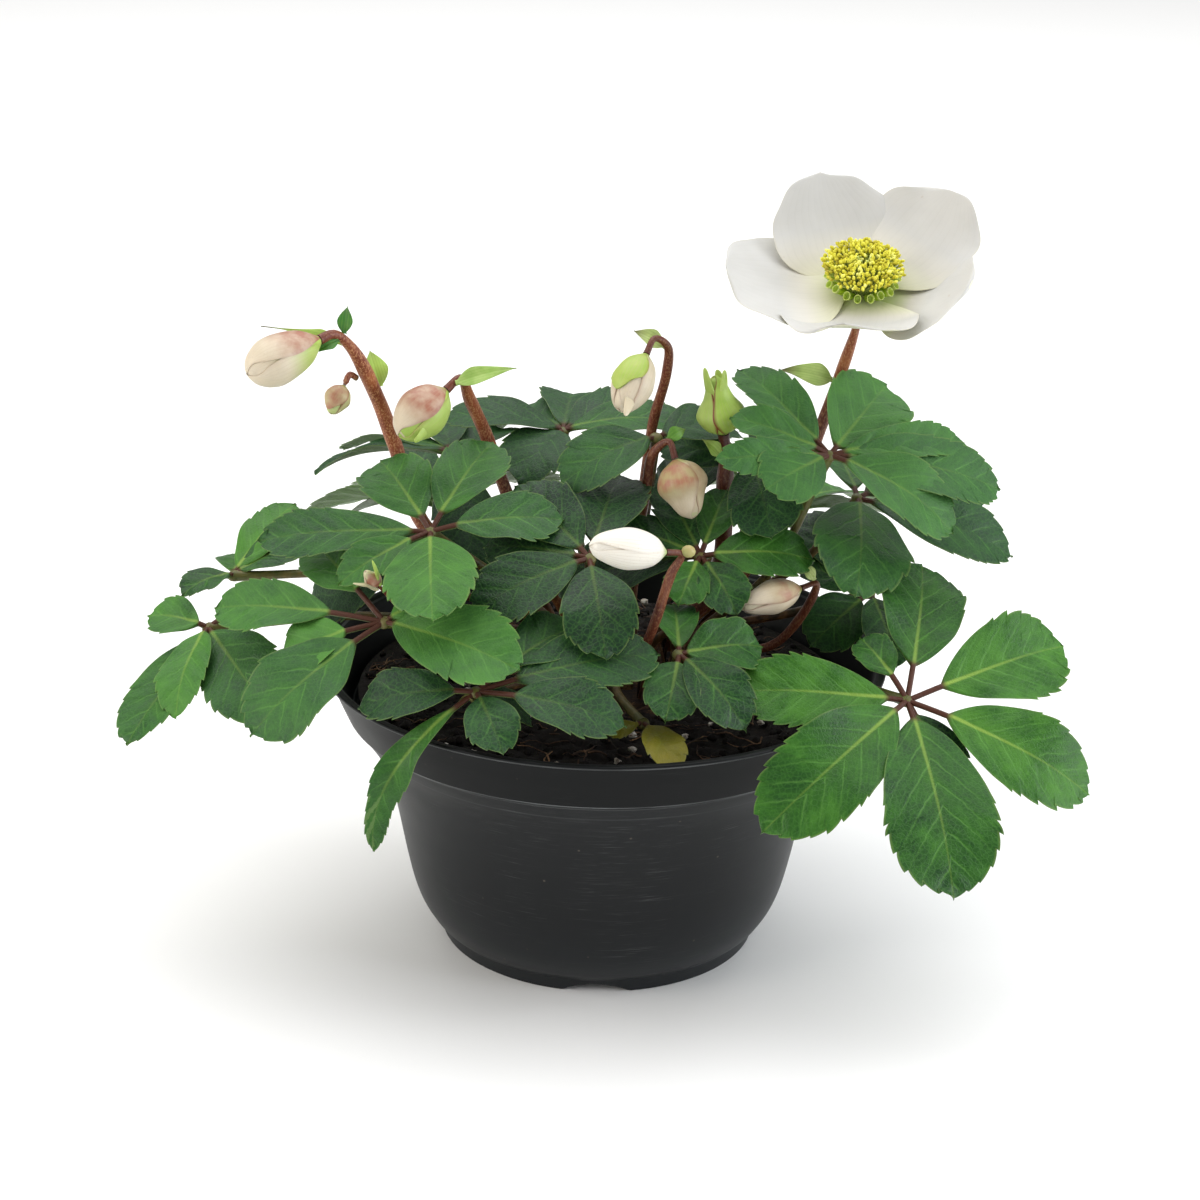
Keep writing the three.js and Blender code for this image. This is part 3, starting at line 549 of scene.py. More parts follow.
for spot in scattered(STUB_COUNT, 3, CROWN_RADIUS - 3, crown_random):
    tall, wide = crown_random.uniform(*STUB_HEIGHTS), crown_random.uniform(*STUB_RADII)
    lean = spot / CROWN_RADIUS * crown_random.uniform(0.2, 0.8) + crown_random.uniform(-0.15, 0.15, 2)
    crown_parts.append(stub(spot + CROWN_CENTRE, tall, wide, lean, crown_random))
for spot in scattered(ROOTLET_COUNT, CROWN_RADIUS - 10, CROWN_RADIUS - 2, crown_random):
    long, thick = crown_random.uniform(*ROOTLET_LENGTHS), crown_random.uniform(*ROOTLET_RADII)
    crown_parts.append(fibre(spot + CROWN_CENTRE, long, thick, 1, crown_random, CROWN_BOTTOM + 1))
crown = make_object("crown_wood", crown_parts, [old_leaf_base(), soil_materials[-1]], crease=60)
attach(crown, "root")
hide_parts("crown")


# ---------------------------------------------------------------------------------------- leaves
# Evergreen, leathery, hand-shaped leaves. Each has a petiole from the crown and two to eight
# leaflets that meet at its end, toothed from the middle to the tip, with a pale sunken midrib.
FOOT_HEIGHT = 94.3  # where petioles and stems stand on the crown
PETIOLE_RADIUS = 1.6
PETIOLE_UPRIGHT = 10
PETIOLE_SINK = 1.6  # how far its clasping base reaches down into the crown
PETIOLE_ROWS = 64
KNUCKLE_RADIUS = 2.3
KNUCKLE_HALF_HEIGHT = 1.5
NEAR_POLE = 1.45  # latitude of a ball's end rings, in radians
STALK_HALF_WIDTH = 0.9
STALK_ROWS = 6
BLADE_THICKNESS = 0.5
EDGE_THICKNESS = 0.16
BASE_THICKNESS = 1.2  # how much thicker the blade begins
RIB_THICKNESS = 0.5  # how much thicker it is along its midrib
RIB_HALF_WIDTH = 0.95  # where the blade begins
RIB_TAPER = 0.6  # how much less that is at the tip
RIB_DEPTH = 0.3
TOOTH_START = 0.45  # share of the blade below the first tooth
TOOTH_PITCH = 5
FEWEST_TEETH = 4
EDGE_LENGTH = 1.25  # how much longer a toothed edge is than its blade
TOOTH_DEPTH = 1.5
DEEP_TOOTH_WIDTH = 22  # teeth have that depth on a blade this wide
TOOTH_HOOK = 0.6  # how far a tooth's point leans over the notch before it
TOOTH_ROWS = np.array([0, 0.25, 0.5, 0.72, 0.88, 0.97])  # where a tooth has rows, from notch to point
PLAIN_ROWS = 26
ROW_LEAN = 0.45  # how far forward a row of points bends, as a share of the half width
VEIN_PITCH = 8.5
VEIN_SLOPE = 1.1  # how far forward a side vein runs for each mm outwards, and how much it bends
VEIN_BEND = 0.012
VEIN_BULGE = 0.34  # half the height of the bulges between side veins
ROOTLETS_AT_HUB = 9
ROOTLET_POINTS = 12
ROOTLET_BENDS = 4
ROOTLET_STEP = [(-2.6, 3), (-2.5, 0), (-3.6, 0.6)]  # the least and most from bend to bend, by axis
# A blade's columns of points, from edge to edge, closer at the midrib and at the edges.
COLUMNS = np.array([-1, -0.94, -0.76, -0.5, -0.24, -0.08, 0, 0.08, 0.24, 0.5, 0.76, 0.94, 1])

# hub: where the leaflets meet. facing: heading and rise of the leaf's upper side. foot: where its
# petiole leaves the crown. via: a point that the petiole passes. Then the look: tone from 0, dark, to
# 1, bright, which on the inner leaves and leaflets that the canopy shades is set low as painted shade;
# wax and sheen, the greyish wax, partly a painted sheen; age, the yellowing. Then the leaflets:
# heading, rise, length, width, stalk, roll and arch, in degrees and mm, and its own tone and twist
# where a leaflet has them.
LEAVES = [
    ("right_front", dict(hub=[97, -52, 106], facing=[-75, 45], foot=[26, -15], via=[66, -30, 107]),
     (0.62, 0, 0), [
        [-173, 6, 56, 24, 6, 0, 2], [-139, -24, 66, 30, 6, 0, 7], [-77, -37, 68, 36, 7, 0, 4, 0.5],
        [-14, -21, 63.5, 29, 13, 0, 4, 0.72], [28, 9, 61, 30, 12, 0, 3], [80, 32, 56, 28, 12, 0, 3],
        [136, 38, 25, 14, 9, 0, 2], [-47, -52, 32, 20, 5, 0, 2, 0.05],
    ]),
    ("right_low", dict(hub=[90, 18, 116], facing=[-70, 50], foot=[36, 6], via=[66, 10, 112]),
     (0.2, 0.1, 0), [
        [-130, -16, 32, 20, 6, 0, 2], [-78, -20, 36, 18, 4, 0, 2], [170, 18, 26, 14, 3, 0, 2],
        [60, -14, 40, 20, 4, 0, 4], [136, 33, 38, 20, 3, 0, 1, 0.12],
    ]),
    ("right_high", dict(hub=[72, -8, 173], facing=[-60, 52], foot=[30, 0], via=[54, -8, 132]),
     (0.72, 0.7, 0), [
        [141, 32, 43, 20, 6, 0, 1], [-178, 22, 34, 15, 5, 0, 2], [-156, 5, 40, 12, 5, -20, 3],
        [57, 22, 41, 29, 4, 0, 1], [26, -2, 53, 14, 4, 0, 4], [12, -13, 60, 25, 5, 0, 4],
        [-14, -26, 46, 26, 5, 0, 4], [-135, -8, 29, 22, 4, 0, 2],
    ]),
    ("right_back", dict(hub=[84, 14, 151], facing=[-65, 52], foot=[34, 15], via=[66, 18, 126]),
     (0.36, 0.45, 0), [
        [-2, -18, 55, 25, 4, 0, 3], [-93, -20, 46, 34, 3, 0, 3], [48, 2, 50, 22, 3, 0, 4],
        [100, 8, 38, 18, 5, 0, 2],
    ]),
    ("left_high", dict(hub=[-56, -28, 151], facing=[-100, 60], foot=[-11, -4], via=[-32, -13, 128]),
     (0.5, 0.35, 0), [
        [121, 22, 38, 24, 6, 0, 2], [62, 28, 43, 23, 7, 0, 2], [2, 7, 42, 20, 8, 0, 3],
        [-86, -14, 45, 29, 4, 0, 2, 0.76], [178, -4, 55, 20, 5, 0, 2], [-149, -19, 34, 16, 7, 0, 2],
        [171, -37, 53, 25, 3, 0, 1, 0.1],
    ]),
    ("left_front", dict(hub=[-69, -52, 129], facing=[-110, 55], foot=[-17, -12], via=[-46, -33, 122]),
     (0.7, 0.5, 0), [
        [163, -2, 58, 20, 17, 0, 3], [128, 20, 45, 20, 15, 0, 2], [-150, -31, 54, 30, 11, 0, 3],
        [-28, -6, 48, 27, 3, 0, 3], [18, 23, 29, 18, 2, 0, 2], [-174, -18, 34, 20, 12, 0, 2, 1],
    ]),
    ("far_left", dict(hub=[-129, -22, 114], facing=[-130, 60], foot=[-22, -1], via=[-78, -8, 114]),
     (0.45, 0.35, 0), [
        [-119, -26, 50, 22, 3, 0, -1], [-100, -20, 40, 17, 3, 0, 3, 0.8], [-61, -12, 50, 27, 3, 0, 2],
        [20, 20, 26, 16, 3, 0, 2], [170, 8, 20, 16, 3, 0, 2, 0.75],
    ]),
    ("far_left_back", dict(hub=[-124, 6, 122], facing=[-120, 60], foot=[-23, 9], via=[-74, 8, 122]),
     (0.5, 0.1, 0), [
        [57, 28, 36, 18, 2, 0, 2, 0.8], [-135, -2, 21, 13, 2, 0, 2], [26, 18, 26, 16, 2, 0, 2],
        [84, -12, 46, 22, 2, 0, 4],
    ]),
    ("front_low", dict(hub=[-39, -74, 115], facing=[-95, 60], foot=[-8, -21], via=[-22, -46, 108]),
     (0.22, 0.2, 0), [
        [-177, -6, 36, 19, 6, 0, 3, 0.15], [14, 9, 58, 24, 12, 0, 3], [-14, -5, 47, 21, 12, 0, 3],
        [38, 20, 42, 20, 12, 0, 3], [-172, -57, 62, 12, 6, 0, 13, 0.55, 85], [-66, -26, 24, 17, 3, 0, 2],
        [36, -33, 25, 13, 3, 0, 1, 0.12],
    ]),
    ("centre", dict(hub=[-5, -36, 146], facing=[-90, 55], foot=[-2, -10], via=[-3, -22, 120]),
     (0.15, 0.1, 0), [
        [-154, -16, 41, 23, 4, 0, 3], [-80, -30, 38, 24, 4, 0, 3], [76, 24, 42, 25, 6, 0, 2],
        [134, 24, 38, 22, 4, 0, 2], [168, 2, 34, 20, 4, 0, 2],
    ]),
    ("centre_low", dict(hub=[24, -52, 120], facing=[-80, 55], foot=[15, -22], via=[21, -38, 106]),
     (0.35, 0.1, 0), [
        [15, 3, 27, 20, 2, 0, 2], [94, 22, 24, 14, 2, 0, 2], [-100, -28, 26, 18, 4, 0, 2],
        [-46, -26, 33, 20, 3, 0, 3],
    ]),
    ("centre_right", dict(hub=[31, -18, 141], facing=[-90, 55], foot=[16, -6], via=[24, -13, 116]),
     (0.42, 0, 0), [
        [163, 13, 28, 16, 2, 0, 2], [64, 42, 26, 14, 4, 0, 1], [-3, 2, 36, 20, 4, 0, 3],
        [-60, -26, 25, 17, 4, 0, 2], [-110, -24, 22, 15, 4, 0, 2],
        [121, 36, 31, 15, 3, 0, 2, 0.2], [165, -18, 51, 24, 3, 0, 3, 0.1],
    ]),
    ("top_back", dict(hub=[-15, 34, 166], facing=[-90, 76], foot=[-2, 22], via=[-9, 30, 130]),
     (0.3, 0.35, 0), [
        [-170, 9, 40, 19, 2, 0, 4], [-116, -12, 32, 24, 2, 0, 3], [118, -14, 54, 22, 2, 0, 6],
        [86, -5, 55, 22, 2, 0, 6], [42, 2, 42, 20, 2, 0, 5], [4, 1, 46, 20, 2, 0, 5],
    ]),
    ("top_left", dict(hub=[-53, 24, 161], facing=[80, 80], foot=[-18, 20], via=[-36, 23, 130]),
     (0.22, 0.3, 0), [
        [179, -7, 45, 19, 2, 0, 3], [140, -10, 50, 20, 2, 0, 4], [100, -4, 46, 20, 2, 0, 4],
        [-74, -36, 52, 25, 3, 0, 2, 0.12], [64, -3, 44, 22, 3, 0, 0, 0.2],
    ]),
    ("top_right", dict(hub=[16, 4, 174], facing=[-90, 62], foot=[6, 9], via=[12, 8, 136]),
     (0.3, 0.5, 0), [
        [-155, -18, 35, 23, 2, 0, 4], [42, -6, 38, 20, 2, 0, 4],
    ]),
    ("dark_right", dict(hub=[48, 8, 166], facing=[-90, 45], foot=[22, 22], via=[44, 20, 128]),
     (0.08, 0.2, 0), [
        [-78, -32, 32, 24, 2, 0, 2], [72, -5, 38, 18, 2, 0, 3],
        [159, 4, 33, 16, 3, 0, 0, 0.15], [137, -22, 50, 25, 3, 0, 1, 0.1],
    ]),
    ("yellow", dict(hub=[13, -63, 101], facing=[-70, 55], foot=[3, -25], via=[5, -44, 103]),
     (0.5, 0, 1), [
        [-62, -16, 22, 13, 3, 0, 2], [-150, -6, 12, 6, 2, 0, 1],
    ]),
    ("back_left", dict(hub=[-56, 62, 128], facing=[115, 60], foot=[-7, 31], via=[-34, 48, 122]),
     (0.45, 0.2, 0), [
        [125, -10, 58, 26, 4, 0, 5], [168, -8, 54, 24, 4, 0, 5], [82, -8, 57, 26, 4, 0, 5],
        [40, 0, 50, 22, 4, 0, 5], [-150, 2, 44, 20, 4, 0, 5], [121, 29, 32, 15, 3, 0, 1, 0.2],
    ]),
    ("back_right", dict(hub=[62, 60, 130], facing=[60, 60], foot=[20, 31], via=[44, 48, 122]),
     (0.5, 0.2, 0), [
        [52, -10, 60, 28, 4, 0, 5], [10, -8, 56, 26, 4, 0, 5], [94, -8, 58, 24, 4, 0, 5],
        [136, 0, 48, 22, 4, 0, 5], [-30, 2, 44, 20, 4, 0, 5],
    ]),
]


def direction(heading, rise):
    """The unit vector with that heading from +X towards +Y, and that rise above the level."""
    heading, rise = heading * DEGREE, rise * DEGREE
    return np.array([np.cos(heading) * np.cos(rise), np.sin(heading) * np.cos(rise), np.sin(rise)])


def blade_axes(heading, rise, facing, roll=0):
    """A blade's three axes: along it, across it, and up out of its upper side.

    up is the facing less its share along the blade, turned about the blade by roll.
    """
    along = direction(heading, rise)
    up = facing - (facing @ along) * along
    up /= np.linalg.norm(up)
    up = up * np.cos(roll * DEGREE) + np.cross(along, up) * np.sin(roll * DEGREE)
    return along, np.cross(along, up), up


def blade_edge(length, width, form, places):
    """A blade's edge from base to tip, at shares of its own length: reach, half width, outward normal.

    form holds the widest point m as a share of the blade, and the powers a, c and d. The half width
    rises as (1 - ((m - s) / m)^a)^0.85, and falls as (1 - ((s - m) / (1 - m))^c)^d.
    """
    widest, rising, falling, closing = form
    share = 1 - (1 - np.linspace(0, 1, 260)) ** 2
    before, after = np.clip(1 - share / widest, 0, 1), np.clip((share - widest) / (1 - widest), 0, 1)
    half = width / 2 * (1 - before**rising) ** 0.85 * (1 - after**falling) ** closing
    curve = np.column_stack([length * share, half])
    along = np.concatenate([[0], np.cumsum(np.linalg.norm(np.diff(curve, axis=0), axis=1))])
    slope = np.gradient(curve, along, axis=0)
    at = np.asarray(places) * along[-1]
    reach, half, ahead, aside = (np.interp(at, along, line) for line in (*curve.T, *slope.T))
    return reach, half, -aside, ahead


def swept_forward(edges, columns, lean):
    """Spreads a blade's rows from its midrib to both edges: reach and across, by row and column.

    edges are the left and the right edge, each as reach and half width by row. A row starts on the
    midrib lean times the half width behind its ends, and bends forward to reach them.
    """
    starts = [reach - lean * (half - half[0]) for reach, half in edges]
    middle = np.maximum.accumulate((starts[0] + starts[1]) / 2)[:, None]
    v = np.abs(columns)[None, :]
    left = columns[None, :] < 0
    end = np.where(left, edges[0][0][:, None], edges[1][0][:, None])
    half = np.where(left, edges[0][1][:, None], edges[1][1][:, None])
    return middle + (end - middle) * v**1.5, columns[None, :] * half


def blade_rings(base, axes, reach, across, height, thickness):
    """Rings of a thin blade: base + along reach + side across + up (height +- thickness / 2).

    A ring runs over the upper side from edge to edge and comes back along the underside.
    """
    along, side, up = axes
    middle = base + reach[..., None] * along + across[..., None] * side
    top = middle + (height + thickness / 2)[..., None] * up
    bottom = middle + (height - thickness / 2)[..., None] * up
    return np.concatenate([top, bottom[:, ::-1]], axis=1)


def on_both_sides(values):
    """A blade's values on its upper side, then again on its underside, as its rings run."""
    return np.concatenate([values, values[:, ::-1]], axis=1)


def ease(value, low, high):
    """0 below low, 1 above high, and 3t^2 - 2t^3 between."""
    t = np.clip((value - low) / (high - low), 0, 1)
    return t * t * (3 - 2 * t)


def toothed_edge(blade, width, form, random):
    """One edge of a leaflet, as reach and half width by row.

    Teeth start part of the way up. They are of uneven length, and within each the edge moves out
    along its normal as w^0.8 and drops back at the end, where its point leans forward.
    """
    teeth = max(FEWEST_TEETH, round((1 - TOOTH_START) * EDGE_LENGTH * blade / TOOTH_PITCH))
    phase, within = (np.arange(teeth)[:, None] + TOOTH_ROWS).ravel(), np.tile(TOOTH_ROWS, teeth)
    lengths = random.uniform(0.6, 1.4, teeth)
    ends = TOOTH_START + (1 - TOOTH_START) * np.concatenate([[0], np.cumsum(lengths) / lengths.sum()])
    plain = np.linspace(0, TOOTH_START, PLAIN_ROWS, endpoint=False)
    places = np.concatenate([plain, np.interp(phase, np.arange(teeth + 1), ends), [1]])
    sizes = np.repeat(random.uniform(0.35, 1.3, teeth), len(TOOTH_ROWS))
    rise = np.concatenate([np.zeros(PLAIN_ROWS), (within**0.8 - 0.4) * sizes, [0.7]])
    point = np.concatenate([np.zeros(PLAIN_ROWS), within**8 * sizes, [0]])
    reach, half, outward_x, outward_y = blade_edge(blade, width, form, places)
    depth = TOOTH_DEPTH * ease(places, TOOTH_START - 0.02, TOOTH_START + 0.15)
    depth = depth * np.clip(width / DEEP_TOOTH_WIDTH, 0.6, 1.1)
    reach = reach + depth * (rise * outward_x + TOOTH_HOOK * point * outward_y)
    half = half + depth * (rise * outward_y - TOOTH_HOOK * point * outward_x)
    return reach, np.maximum(half, STALK_HALF_WIDTH * (1 - 0.8 * reach / blade))


def leaflet(hub, facing, size, look, random):
    """One toothed leaflet, as a shell.

    Rows run from the hub along its stalk and its blade. The height is a bow over the length, a fold
    that rises from the midrib, a slow wave at each edge, a bulge between side veins, and a tip that
    bends down. A twist turns the far part of the blade about its midrib.
    """
    heading, rise, length, width, stalk, roll, arch, *own = size
    tone = own[0] if own else look[0] + random.uniform(-0.15, 0.15)
    twist = own[1] if len(own) > 1 else 0
    blade = length - stalk
    form = (random.uniform(0.55, 0.65), random.uniform(1.65, 2.2), random.uniform(2.4, 3), 0.6)
    edges = [toothed_edge(blade, width, form, random) for _ in range(2)]
    shorter = min(len(edge[0]) for edge in edges)
    edges = [(reach[:shorter], half[:shorter]) for reach, half in edges]
    reach, across = swept_forward(edges, COLUMNS, ROW_LEAN)
    stalk_reach = np.linspace(-stalk, 0, STALK_ROWS, endpoint=False)[:, None] * np.ones_like(COLUMNS)
    reach = np.concatenate([stalk_reach, reach]) + stalk
    across = np.concatenate([np.repeat(across[:1], STALK_ROWS, axis=0), across])
    edge, left = np.abs(COLUMNS)[None, :], COLUMNS[None, :] < 0
    s = np.clip((reach - stalk) / blade, 0, 1)
    vein = (reach - stalk - VEIN_SLOPE * np.abs(across) - VEIN_BEND * across**2) / VEIN_PITCH + 0.5 * left
    vein = vein + random.uniform(0, 1)
    wave, turns = random.uniform(0.015, 0.05, 2) * width, random.uniform(0.9, 2.2, 2)
    shift = random.uniform(0, 2 * np.pi, 2)
    waves = [wave[k] * np.sin(2 * np.pi * turns[k] * s + shift[k]) for k in (0, 1)]
    fold, curl = random.uniform(0.08, 0.3), random.uniform(0.01, 0.06)
    rib = np.abs(across) / (RIB_HALF_WIDTH - RIB_TAPER * s)
    ridge = (1 - s) * np.exp(-(rib**2))
    height = fold * np.abs(across) * (1 - 0.5 * s)
    height = height + np.where(left, *waves) * edge**2 * ease(s, 0, 0.3)
    height = height - VEIN_BULGE * np.cos(2 * np.pi * vein) * 4 * edge * (1 - edge) * ease(s, 0.1, 0.3)
    height = height - RIB_DEPTH * ridge * ease(s, 0.02, 0.2)
    turn = twist * DEGREE * ease(s, 0.3, 0.75)
    cos, sin = np.cos(turn), np.sin(turn)
    across, height = across * cos - height * sin, across * sin + height * cos
    bow = 4 * arch * reach / length * (1 - reach / length)
    height = height + (bow - curl * length * np.maximum(s - 0.55, 0) ** 2 / 0.2)
    body = BLADE_THICKNESS + BASE_THICKNESS * (1 - ease(s, 0, 0.25)) + RIB_THICKNESS * ridge
    thickness = EDGE_THICKNESS + (body - EDGE_THICKNESS) * np.sqrt(1 - 0.98 * edge**2)
    rings = blade_rings(hub, blade_axes(heading, rise, facing, roll), reach, across, height, thickness)
    return shell(
        rings, rib=on_both_sides(rib), vein=on_both_sides(vein), rim=on_both_sides(edge),
        across=on_both_sides(edge * width / 2), reach=on_both_sides(s),
        under=np.repeat([[0, 1]], len(COLUMNS), axis=1), stalk=on_both_sides(1 - ease(s, 0, 0.05)),
        tone=tone, bloom=look[1], age=look[2],
    )


def petiole_path(place):
    """The petiole's route: up from the crown, past its via point and on to the hub."""
    foot = np.array([*place["foot"], FOOT_HEIGHT])
    return [foot, foot + [0, 0, PETIOLE_UPRIGHT], place["via"], place["hub"]]


def petiole(place, tone):
    """The leaf's stalk, as a shell: a clasping base, a slim rod and a slightly swollen end."""
    path = smooth_curve(petiole_path(place), PETIOLE_ROWS)
    share = np.linspace(0, 1, PETIOLE_ROWS)
    radius = PETIOLE_RADIUS * (0.92 + 1.1 * np.exp(-share * 14) + 0.35 * np.exp(-(1 - share) * 20))
    path = path - PETIOLE_SINK * np.exp(-share * 30)[:, None] * [0, 0, 1]
    return shell(swept(path, radius, 12), 1, reach=share[:, None], tone=tone)


def hub_knuckle(hub, facing):
    """The knuckle where leaflets meet, as a shell: a ball, flattened along the facing."""
    latitude = np.linspace(-NEAR_POLE, NEAR_POLE, 9)
    middles = np.asarray(hub, float) + np.sin(latitude)[:, None] * KNUCKLE_HALF_HEIGHT * facing
    return shell(swept(middles, KNUCKLE_RADIUS * np.cos(latitude), 14), 1, reach=1.0, tone=0.5)


def leathery_leaf():
    """A waxy evergreen leaf: satin, deep green above and paler below, with lime ribs and soft veins."""
    marks = ("rib", "vein", "rim", "across", "reach", "under", "stalk", "tone", "bloom", "age")
    material, tree, shader, place, *read = new_material("leathery_leaf", *marks)
    rib, vein, rim, across, reach, under, stalk, tone, bloom, age = read
    mottle = add(tree, "TexNoise", {"Vector": place, "Scale": cells(11), "Detail": 4, "Roughness": 0.6})
    drift = add(tree, "TexNoise", {"Vector": place, "Scale": cells(5), "Detail": 2})
    fine = add(tree, "TexNoise", {"Vector": place, "Scale": cells(0.7), "Detail": 3})
    # Streaks lie between the side veins, 0.8 mm apart and several mm long.
    streak_place = add(tree, "CombineXYZ", {
        0: add(tree, "Math", {0: vein, 1: 10}, operation="MULTIPLY"),
        1: add(tree, "Math", {0: across, 1: 0.25}, operation="MULTIPLY"), 2: tone,
    })
    streaks = add(tree, "TexNoise", {"Vector": streak_place, "Scale": 1, "Detail": 3})
    # The net of small veins has meshes of about 1.6 mm.
    net = add(tree, "TexVoronoi", {"Vector": place, "Scale": cells(1.6)}, feature="DISTANCE_TO_EDGE")
    net_line = add(tree, "MapRange", {"Value": net, "From Max": 0.14, "To Min": 0.2, "To Max": 0})
    clouds = add(tree, "Math", {0: streaks, 1: 0.45, 2: mottle}, operation="MULTIPLY_ADD")
    uneven = add(tree, "MapRange",
                 {"Value": clouds, "From Min": 0.52, "From Max": 0.94, "To Min": -0.18, "To Max": 0.18})
    # Low tones on the inner leaves and leaflets are painted shade, where the canopy shades them.
    green = add(tree, "Math", {0: tone, 1: uneven}, operation="ADD")
    stops = [(0, "#0c2413"), (0.3, "#153716"), (0.6, "#2a5818"), (1, "#4a8028")]
    colour = add(tree, "ValToRGB", {"Fac": green}, stops=stops)
    # A side vein is a soft line 0.5 mm wide, wherever the vein mark, drifting a little, is whole.
    drifting = add(tree, "Math", {0: drift, 1: 0.3, 2: vein}, operation="MULTIPLY_ADD")
    side_vein = add(tree, "Math", {0: drifting, 1: 0.5}, operation="PINGPONG")
    vein_line = add(tree, "MapRange", {"Value": side_vein, "From Max": 0.09, "To Min": 0.34, "To Max": 0},
                    interpolation_type="SMOOTHSTEP")
    near_edge = add(tree, "MapRange",
                    {"Value": rim, "From Min": 0.25, "From Max": 0.95, "To Min": 1, "To Max": 0.1})
    vein_line = add(tree, "Math", {0: vein_line, 1: near_edge}, operation="MULTIPLY")
    clear = add(tree, "MapRange",
                {"Value": tone, "From Min": 0.1, "From Max": 0.5, "To Min": 0.5, "To Max": 1})
    vein_line = add(tree, "Math", {0: vein_line, 1: clear}, operation="MULTIPLY")
    rib_line = add(tree, "MapRange",
                   {"Value": rib, "From Min": 0.15, "From Max": 1.1, "To Min": 1, "To Max": 0},
                   interpolation_type="SMOOTHSTEP")
    rib_fade = add(tree, "MapRange", {"Value": reach, "From Max": 0.75, "To Min": 0.85, "To Max": 0.18})
    # Dark leaflets have dull ribs, both old ones and those whose low tone is painted shade, and the wax with
    # its painted sheen hides them.
    fresh = add(tree, "MapRange",
                {"Value": tone, "From Min": 0.2, "From Max": 0.65, "To Min": 0.25, "To Max": 0.85})
    fresh = add(tree, "Math", {0: bloom, 1: -0.7, 2: fresh}, operation="MULTIPLY_ADD", use_clamp=True)
    rib_fade = add(tree, "Math", {0: rib_fade, 1: fresh}, operation="MULTIPLY")
    rib_line = add(tree, "Math", {0: rib_line, 1: rib_fade}, operation="MULTIPLY")
    glow = add(tree, "MapRange", {"Value": rib, "From Max": 7, "To Min": 0.28, "To Max": 0})
    glow = add(tree, "Math", {0: glow, 1: rib_fade}, operation="MULTIPLY")
    rim_line = add(tree, "MapRange", {"Value": rim, "From Min": 0.95, "From Max": 0.99, "To Max": 0.3})
    # The greyish wax is partly real and partly a painted sheen that stands in for the light's reflection.
    wax_and_sheen_mix = add(tree, "Math", {0: bloom, 1: 0.45}, operation="MULTIPLY")
    blotch = add(tree, "MapRange",
                 {"Value": mottle, "From Min": 0.4, "From Max": 0.62, "To Min": 0.75, "To Max": 1})
    yellowed = add(tree, "Math", {0: age, 1: blotch}, operation="MULTIPLY")
    layers = (
        (wax_and_sheen_mix, "#486c4a"), (net_line, "#4a7f36"), (glow, "#5a8a28"), (vein_line, "#5f9440"),
        (rib_line, "#94b04c"), (rim_line, "#7f9650"), (yellowed, "#736c1e"), (stalk, "#4a2a1e"),
    )
    for factor, shade in layers:
        colour = add(tree, "Mix", {"Factor": factor, "A": colour, "B": shade}, data_type="RGBA")
    below = add(tree, "Mix", {"Factor": 0.6, "A": colour, "B": "#6c8850"}, data_type="RGBA")
    colour = add(tree, "Mix", {"Factor": under, "A": colour, "B": below}, data_type="RGBA")
    gloss = add(tree, "MapRange",
                {"Value": clouds, "From Min": 0.5, "From Max": 0.95, "To Min": 0.32, "To Max": 0.5})
    gloss = add(tree, "Math", {0: bloom, 1: 0.15, 2: gloss}, operation="MULTIPLY_ADD")
    sunk = add(tree, "Math", {0: vein_line, 1: net_line}, operation="ADD")
    relief = add(tree, "Math", {0: sunk, 1: -1.5, 2: fine}, operation="MULTIPLY_ADD")
    bump = add(tree, "Bump", {"Strength": 0.5, "Distance": 0.3 * MM, "Height": relief})
    plug(tree, shader, {
        "Base Color": colour, "Roughness": gloss, "Normal": bump, "Specular IOR Level": 0.22,
    })
    return material


def petiole_skin():
    """A smooth juicy stalk: purple-brown at the foot, greener towards the leaf, finely streaked."""
    material, tree, shader, place, reach, tone = new_material("petiole_skin", "reach", "tone")
    streaks = add(tree, "TexNoise", {"Vector": place, "Scale": cells(3), "Detail": 5})
    stops = [(0.3, "#2c1512"), (0.5, "#4c2a1e"), (0.72, "#7a5236")]
    colour = add(tree, "ValToRGB", {"Fac": streaks}, stops=stops)
    green = add(tree, "Math", {0: reach, 1: tone}, operation="MULTIPLY")
    colour = add(tree, "Mix", {"Factor": green, "A": colour, "B": "#5f6f2c"}, data_type="RGBA")
    plug(tree, shader, {"Base Color": colour, "Roughness": 0.42, "IOR": 1.42})
    return material


def dry_rootlet(hub, random):
    """A dry thread that hangs from the hub of a low leaf: a wandering curve, as a shell."""
    steps = np.column_stack([random.uniform(*span, ROOTLET_BENDS) for span in ROOTLET_STEP])
    path = smooth_curve(np.vstack([hub, hub + np.cumsum(steps, axis=0)]), ROOTLET_POINTS)
    return shell(swept(path, np.linspace(0.4, 0.18, ROOTLET_POINTS), 6), 1, reach=0.9, tone=0.6)


leaf_materials = [leathery_leaf(), petiole_skin()]
for number, (leaf_name, place, look, leaflets) in enumerate(LEAVES):
    leaf_random = np.random.default_rng(100 + number)
    hub, facing = np.array(place["hub"], float), direction(*place["facing"])
    leaf_parts = [petiole(place, look[0]), hub_knuckle(hub, facing)]
    leaf_parts += [leaflet(hub, facing, size, look, leaf_random) for size in leaflets]
    if leaf_name == "front_low":
        leaf_parts += [dry_rootlet(hub, leaf_random) for _ in range(ROOTLETS_AT_HUB)]
    leaf = make_object("blades_" + leaf_name, leaf_parts, leaf_materials)
    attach(leaf, "root")
    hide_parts("leaf_" + leaf_name)


